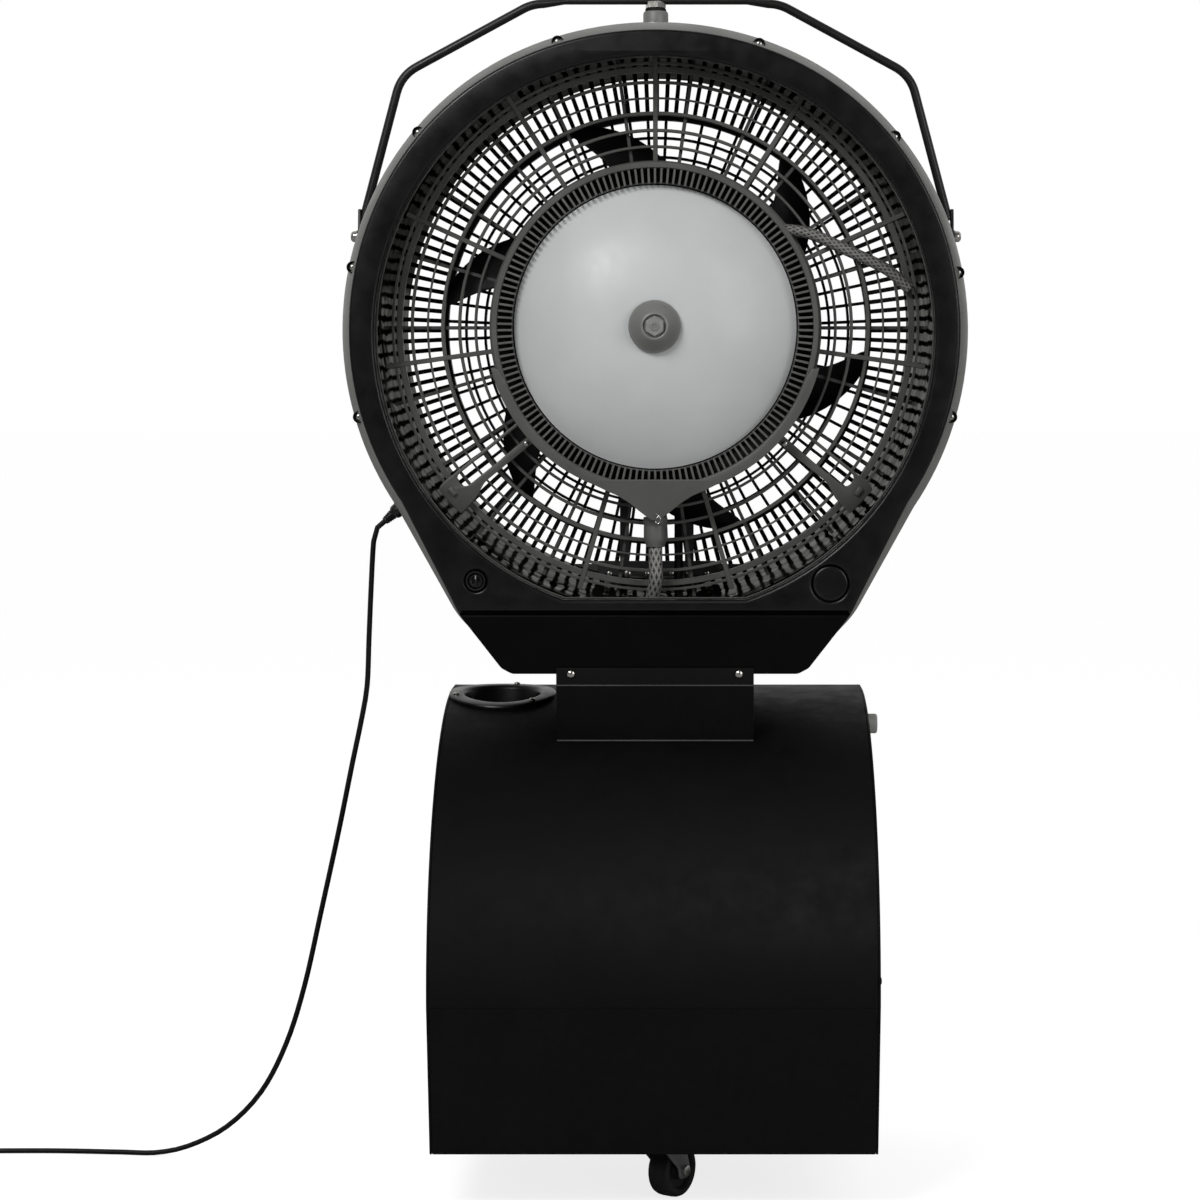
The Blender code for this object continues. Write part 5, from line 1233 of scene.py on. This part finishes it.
# ---------------------------------------------------------------- yoke
def make_yoke():
    """A bar bent over the head, flattened at the top and bolted on at both ends."""
    top = YOKE_TOP - 0.0060
    right = [(0.120, top), (0.1620, top - 0.0005), (0.3350, HEAD_Z + 0.338), (0.3828, HEAD_Z + 0.161),
             (0.3860, HEAD_Z + 0.148)]
    left = [(-x, z) for x, z in reversed(right)]
    line = softened([*left, *right], [0, 0.05, 0.055, 0.060, 0, 0, 0.060, 0.055, 0.05, 0], 9)
    bar = round_bar("bar", [(x, YOKE_Y, z) for x, z in line], 0.0058, 5)
    for vertex in bar.data.vertices:
        reach = abs(vertex.co.x)
        flatten = max(0.0, min(1.0, (0.140 - reach) / 0.040))
        low = YOKE_TOP - 0.0030
        squeezed = YOKE_TOP - 0.0015 + (vertex.co.z - top) * 0.26
        vertex.co.z += (min(max(squeezed, low), YOKE_TOP) - vertex.co.z) * flatten
        vertex.co.z = min(vertex.co.z, YOKE_TOP)
        vertex.co.y = YOKE_Y + (vertex.co.y - YOKE_Y) * (1 + 0.85 * flatten)
    tidy_faces(bar)
    tabs = []
    for side in (-1, 1):
        outline = softened([(-0.0100, -0.0135), (0.0100, -0.0135), (0.0100, 0.012), (0.0055, 0.036),
                            (-0.0055, 0.036), (-0.0100, 0.012)], [0.009, 0.009, 0.01, 0.002, 0.002, 0.01], 6)
        hole = arc(0.0043, 0, 2 * pi, 24)[:-1]
        tab = flat("tab", [outline, hole], 0.0042,
                   (side * 0.3905, YOKE_Y, YOKE_BOLT_Z), "YZ", rounding=0.0010)
        tabs.append(tab)
    yoke = join([bar, *tabs], "bent_yoke")
    finish_piece(yoke, ROD_BLACK, stands_for=("yoke",), soft=radians(45))
    bush = turned("bush", [(0.0063, -0.0120), (0.0160, -0.0120), (0.0165, -0.0110), (0.0165, 0.0118),
                           (0.0152, 0.0146), (0.0140, 0.0152), (0.0063, 0.0152)],
                  (0, YOKE_Y, CASING_TOP), "Z", 48, ring=True)
    finish_piece(bush, CASING_GREY, stands_for=("yoke_bush",))
    washer = turned("yoke_washer", [(0.0063, 0.0154), (0.0132, 0.0154), (0.0138, 0.0160),
                                    (0.0138, 0.0180), (0.0132, 0.0186), (0.0063, 0.0186)],
                    (0, YOKE_Y, CASING_TOP), "Z", 48, ring=True)
    finish_piece(washer, RUBBER)
    nut = turned("nut", [(0.0126, 0.0190), (0.0139, 0.0196), (0.0139, 0.0266), (0.0126, 0.0276)],
                 (0, YOKE_Y, CASING_TOP), "Z", 6, turn=(0, 0, radians(12)))
    stud = turned("stud", [(0.0060, -0.0218), (0.0060, 0.0272), (0.0050, 0.0280)],
                  (0, YOKE_Y, CASING_TOP), "Z", 32)
    finish_piece(join([nut, stud], "yoke_nut"), ZINC, stands_for=("yoke_stud",))
    for name, side in (("yoke_bolt_left", -1), ("yoke_bolt_right", 1)):
        sections = [(0.0040, 0.0), (0.0040, 0.0274), (0.0082, 0.0276), (0.0086, 0.0282), (0.0086, 0.0296)]
        dome = [(0.0074, 0.0298), (0.0074, 0.0330), (0.0066, 0.0352), (0.0048, 0.0368), (0.0020, 0.0374)]
        turn = (0, side * pi / 2, 0)
        place = (side * 0.3655, YOKE_Y, YOKE_BOLT_Z)
        shank = turned("shank", sections, place, sides=32, turn=turn)
        crown = turned("crown", dome, place, sides=32, turn=turn)
        finish_piece(join([shank, crown], f"{name}_head"), ZINC, stands_for=(name,))


# ---------------------------------------------------------------- neck
def make_neck():
    """The bent plate between the head and the cabinet, with a painted highlight along its folds."""
    low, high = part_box("neck_plate")
    front, flange_top = low.y, high.z
    bend = flange_top - 0.022
    lower_y = HEAD_FRONT + 0.025
    lower_z = low.z
    profile = softened([(front, flange_top), (front, bend), (lower_y - 0.003, lower_z),
                        (lower_y, lower_z + 0.003), (front + 0.003, bend + 0.0006),
                        (front + 0.003, flange_top)],
                       [0.0008, 0.006, 0, 0, 0.004, 0.0008], 5)
    plate = flat("bent_plate", [profile], 0.254, (0, 0, 0), "YZ", rounding=0.0008)
    finish_piece(plate, SHEET_BLACK, stands_for=("neck_plate",))
    screws = [screw_head("neck_screw", (side * 0.108, front, flange_top - 0.0078), 0.0050, "Y")
              for side in (-1, 1)]
    finish_piece(join(screws, "neck_screws"), ZINC)
    # Light bars along the bottom bead and the fold: a painted highlight where the bends catch the light.
    for name, reach, y, z in (("bead", 0.127, lower_y - 0.0030, lower_z + 0.0006),
                              ("fold", 0.1268, front + 0.0012, bend - 0.0004)):
        edge = round_bar(name, [(-reach, y, z), (0.0, y, z), (reach, y, z)], 0.0014, 2)
        finish_piece(edge, FOLD_HIGHLIGHT)


# ---------------------------------------------------------------- cabinet
def skin_profile(offset, steps=56):
    points = [(CREASE_Y + 0.040 + offset, CABINET_BOTTOM)]
    rise = CABINET_TOP - CREASE_Z
    for step in range(steps + 1):
        angle = pi / 2 * step / steps
        points.append((CREASE_Y + CURVE_DEPTH - (CURVE_DEPTH - offset) * cos(angle),
                       CREASE_Z + (rise - offset) * sin(angle)))
    points.append((CABINET_BACK, CABINET_TOP - offset))
    return points


def skin_height(y):
    along = (CREASE_Y + CURVE_DEPTH - y) / CURVE_DEPTH
    if along <= 0:
        return CABINET_TOP
    return CREASE_Z + (CABINET_TOP - CREASE_Z) * sqrt(max(0.0, 1 - along**2))


def skin_slope(y):
    return atan2(skin_height(y + 0.0005) - skin_height(y - 0.0005), 0.001)


def filler_frame():
    """Where the filler's mouth goes through the curved skin, with +Z square to the skin."""
    return (Matrix.Translation((FILLER_X, FILLER_Y, skin_height(FILLER_Y)))
            @ Matrix.Rotation(skin_slope(FILLER_Y), 4, "X"))


def lay_on_skin(piece):
    """Bends a piece made flat at the origin onto the skin round the filler."""
    lean = cos(skin_slope(FILLER_Y))
    for vertex in piece.data.vertices:
        across, back, up = vertex.co
        y = FILLER_Y + back * lean
        sunk = min(0.0, up)
        vertex.co = (across + FILLER_X, y - sin(skin_slope(y)) * (up - sunk),
                     skin_height(y) + cos(skin_slope(y)) * (up - sunk) + sunk)
    return piece


def make_cabinet():
    outer, inner = skin_profile(0.0), skin_profile(0.003)
    outer[0], inner[0] = (outer[1][0], CREASE_Z + 0.0004), (inner[1][0], CREASE_Z + 0.0004)
    skin = flat("curved_skin", [[*outer, *reversed(inner)]], 0.5534, (0, 0, 0), "YZ",
                rounding=0.0008, segments=2)
    lower = [(CREASE_Y + 0.040, CABINET_BOTTOM), (CREASE_Y, CREASE_Z - 0.0004),
             (CREASE_Y + 0.003, CREASE_Z - 0.0004), (CREASE_Y + 0.043, CABINET_BOTTOM)]
    panel = flat("lower_panel", [lower], 0.5534, (0, 0, 0), "YZ", rounding=0.0008, segments=2)
    frame_here = filler_frame()
    mouth = turned("mouth", [(0.0533, -0.04), (0.0533, 0.04)], (0, 0, 0), "Z", 64)
    mouth.matrix_world = frame_here
    hollow(skin, mouth)
    y = HEAD_FRONT + 0.120
    hollow(skin, block("slot", (0.10, 0.06, 0.12), (0, y, skin_height(y))))
    whole = join([skin, panel], "curved_skin")
    for vertex in whole.data.vertices:
        vertex.co.y = max(vertex.co.y, CREASE_Y)
    finish_piece(whole, SHEET_BLACK, stands_for=("cabinet_skin",))
    for name, side in (("cabinet_side_left", -1), ("cabinet_side_right", 1)):
        edge = [*skin_profile(0.0), (CABINET_BACK, CABINET_BOTTOM)]
        holes = []
        if side > 0:
            holes = [arc(0.006, 0, 2 * pi, 24, FLOW_KNOB_PLACE)[:-1]]
        panel = flat(f"{name}_panel", [edge, *holes], 0.003, (side * 0.2785, 0, 0), "YZ",
                     rounding=0.0008, segments=2)
        finish_piece(panel, SHEET_BLACK, stands_for=(name,))
    low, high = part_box("cabinet_back")
    size, spot = high - low, (low + high) / 2
    back = block("back_panel", size, spot, 0.0010, 2)
    finish_piece(back, SHEET_BLACK, stands_for=("cabinet_back",))
    screws = [screw_head("back_screw", (side * 0.262, high.y - 0.0022, level), 0.0042, "Y",
                         (-pi / 2, 0, 0))
              for side in (-1, 1) for level in (low.z + 0.030, spot.z, high.z - 0.030)]
    finish_piece(join(screws, "back_screws"), ZINC)
    for side in (-1, 1):
        screw = screw_head("cabinet_bolt", (side * 0.2801, CREASE_Y + 0.060, 0.2925), 0.0058, "X",
                           (0, side * pi / 2, 0))
        if side < 0:
            finish_piece(screw, ZINC)
        else:
            finish_piece(screw, SHEET_BLACK)


def make_filler():
    sections = [(0.0500, -0.130), (0.0520, -0.130), (0.0520, 0.0003), (0.0715, 0.0003),
                (0.0715, 0.0040), (0.0705, 0.0054), (0.0690, 0.0058), (0.0565, 0.0058),
                (0.0540, 0.0053), (0.0515, 0.0034), (0.0502, 0.0003)]
    ring = lay_on_skin(turned("filler_mouth", sections, (0, 0, 0), "Z", 96, ring=True))
    finish_piece(ring, FRONT_BLACK, stands_for=("filler_ring",))
    screws = []
    for degrees in (195, 312, 75):
        angle = radians(degrees)
        spot = (0.0630 * cos(angle), 0.0630 * sin(angle), 0.0056)
        screws.append(lay_on_skin(fix_place(screw_head("filler_screw", spot, 0.0042, "Z"))))
    finish_piece(join(screws, "filler_screws"), ZINC)


def make_flow_knob():
    """The light knob on the cabinet's right side, with 24 grips."""
    y, z = FLOW_KNOB_PLACE
    count = 24
    sections = [(0.0050, -0.006), (0.0050, 0.0010), (0.0124, 0.0010), (0.0128, 0.0016), (0.0128, 0.0145),
                (0.0120, 0.0160), (0.0104, 0.0165), (0.0020, 0.0165)]
    knob = turned("knob", sections, (0.28, y, z), "X", 48)
    grip = block("grip", (0.0130, 0.0014, 0.0010), (0.2880, y, z + 0.0128), 0.0003, 1)
    grips = copies_round(grip, [2 * pi * k / count for k in range(count)], (0, y, z), "X")
    knob = join([knob, *grips], "water_knob")
    finish_piece(knob, LIGHT_KNOB, "flow_knob", ("flow_knob",))


# ---------------------------------------------------------------- casters
def make_wheel(node_name, body, turn):
    """A solid wheel with a sunk web; gives back its centre."""
    centre = middle(node_name)
    half = 0.0150
    sections = [(0.0043, half - 0.004), (0.0110, half - 0.003), (0.0125, half - 0.0055),
                (0.0225, half - 0.0055), (0.0245, half - 0.0015), (0.0262, half - 0.0002),
                (0.0310, half), (0.0332, half - 0.0014), (0.0345, half - 0.0045), (0.03496, half - 0.009)]
    sections += [(r, -h) for r, h in reversed(sections)]
    wheel = turned("wheel", sections, centre, sides=96, ring=True, turn=(0, pi / 2, turn))
    finish_piece(wheel, TYRE, body, (node_name,))
    return centre


def make_fork(name, body, centre, turn, trail, top):
    """A pressed fork: two legs narrowing to the axle under a crown with a rolled edge."""
    inner, wall = 0.0170, 0.0028
    pieces = []
    for side in (-1, 1):
        outline = softened([(-0.0105, -0.0100), (0.0105, -0.0100), (0.0120, 0.004),
                            (-trail + 0.0265, top - 0.004), (-trail + 0.0265, top),
                            (-trail - 0.0265, top), (-trail - 0.0265, top - 0.004), (-0.0120, 0.004)],
                           [0.009, 0.009, 0.02, 0.004, 0.0, 0.0, 0.004, 0.02], 6)
        leg = flat("leg", [outline], wall, (side * (inner + wall / 2), 0, 0), "YZ", rounding=0.0008)
        pieces.append(leg)
        boss = turned("boss", [(0.0040, -0.0006), (0.0078, -0.0006), (0.0078, 0.0014), (0.0066, 0.0024),
                               (0.0040, 0.0024)],
                      (side * (inner + wall), 0, 0), sides=6, turn=(0, side * pi / 2, 0))
        pieces.append(boss)
    crown = block("crown", (2 * (inner + wall), 0.053, wall), (0, -trail, top - wall / 2), 0.0012, 2)
    race = turned("race", [(0.0180, -0.0006), (0.0205, 0.0004), (0.0205, 0.0014)],
                  (0, -trail, top), "Z", 48)
    fork = join([crown, *pieces, race], f"{name}_bracket")
    fork.matrix_world = Matrix.Translation(centre) @ Matrix.Rotation(turn, 4, "Z")
    return finish_piece(fork, FORK_GREY, body, (f"{name}_fork",))


def make_axle(name, centre, turn):
    """A pin with a rivet head at each end."""
    sections = [(0.0062, -0.0245), (0.0070, -0.0238), (0.0070, -0.0200), (0.0040, -0.0198),
                (0.0040, 0.0198), (0.0070, 0.0200), (0.0070, 0.0240), (0.0050, 0.0247)]
    return turned(name, sections, centre, sides=24, turn=(0, pi / 2, turn))


def make_casters():
    """The front swivel caster with its race and plate, and the two fixed casters at the back."""
    centre = make_wheel("front_wheel", "front_wheel", CASTER_TURN)
    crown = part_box("front_fork")[1].z
    make_fork("front", "caster_swivel", centre, CASTER_TURN, CASTER_TRAIL, crown - centre.z)
    axle = make_axle("axle", centre, CASTER_TURN)
    finish_piece(axle, ZINC, "caster_swivel", ("front_axle",))
    low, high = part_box("front_caster_plate")
    spot = (low + high) / 2
    plate = block("plate", (high.x - low.x, high.y - low.y, SHEET),
                  (spot.x, spot.y, high.z - SHEET / 2), 0.0008, 2)
    race = turned("race", [(0.0150, low.z), (0.0205, low.z + 0.0008), (0.0215, low.z + 0.0030),
                           (0.0215, high.z - 0.003), (0.0150, high.z - 0.002)],
                  (spot.x, spot.y, 0), "Z", 48)
    finish_piece(join([plate, race], "front_caster_top"), ZINC,
                 stands_for=("front_caster_plate",))
    for side in ("rear_left", "rear_right"):
        centre = make_wheel(f"{side}_wheel", f"{side}_wheel", 0.0)
        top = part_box(f"{side}_fork")[1].z
        make_fork(side, "machine", centre, 0.0, 0.0, top - centre.z)
        finish_piece(make_axle("pin", centre, 0.0), ZINC)


# ---------------------------------------------------------------- hoses and leads
def make_hoses():
    """The drain boot with its braided hose, and the motor's braided lead."""
    boot_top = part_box("drain_boot")[1].z
    y = middle("drain_boot").y
    boot = turned("boot", [(0.0112, -0.0390), (0.0120, -0.0384), (0.0124, -0.0370), (0.0138, -0.0330),
                           (0.0150, -0.0300), (0.0153, -0.0280), (0.0153, -0.0130), (0.0150, -0.0112),
                           (0.0156, -0.0100), (0.0160, -0.0060), (0.0158, -0.0010), (0.0150, 0.0)],
                  (0, y, boot_top), "Z", 64)
    finish_piece(boot, BOOT_RUBBER, stands_for=("drain_boot",))
    hose_top = boot_top - 0.039 - GAP
    plane = HEAD_FRONT + 0.121
    route = [
        (0, y, hose_top),
        (0, y, hose_top - 0.020),
        (0, y + 0.003, hose_top - 0.045),
        (-0.008, y + 0.022, hose_top - 0.080),
        (-0.022, plane, HEAD_BASE + 0.020),
        (-0.022, plane, CABINET_TOP - 0.040),
        (-0.032, plane, CABINET_TOP - 0.120),
        (-0.042, plane, 0.355),
    ]
    drain = hose("braided_drain", through(route, 0.006), 0.0090, 24)
    finish_piece(drain, DRAIN_BRAID, stands_for=("drain_hose",), soft=radians(60))
    lead = [
        (0.160, HEAD_FRONT + 0.0875, AXIS_Z + 0.128),
        (0.200, HEAD_FRONT + 0.0860, AXIS_Z + 0.122),
        (0.250, HEAD_FRONT + 0.0860, AXIS_Z + 0.100),
        (0.300, HEAD_FRONT + 0.0870, AXIS_Z + 0.076),
        (0.3310, HEAD_FRONT + 0.0870, AXIS_Z + 0.050),
    ]
    cable = hose("braided_lead", through(lead, 0.005), 0.0076, 20)
    finish_piece(cable, LEAD_BRAID, stands_for=("motor_lead",), soft=radians(60))


make_yoke()
make_neck()
make_cabinet()
make_filler()
make_flow_knob()
make_casters()
make_hoses()


# ---------------------------------------------------------------- parts kept as they are
KEPT = {
    "atomiser_disc": DOME_GREY,
    "drive_shaft": STEEL,
    "motor_stator": STEEL,
    "motor_rotor_core": STEEL,
    "motor_saddle": POST_DARK,
    "motor_post_left": POST_DARK,
    "motor_post_right": POST_DARK,
    "motor_cross_bar": POST_DARK,
    "neck_cheek_left": SHEET_BLACK,
    "neck_cheek_right": SHEET_BLACK,
    "base_pan": SHEET_BLACK,
    "water_tank": TANK_GREY,
    "pump": RUBBER,
    "feed_hose": RUBBER,
}
for name, finish in KEPT.items():
    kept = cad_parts[name]
    kept.data.materials.clear()
    kept.data.materials.append(finish)
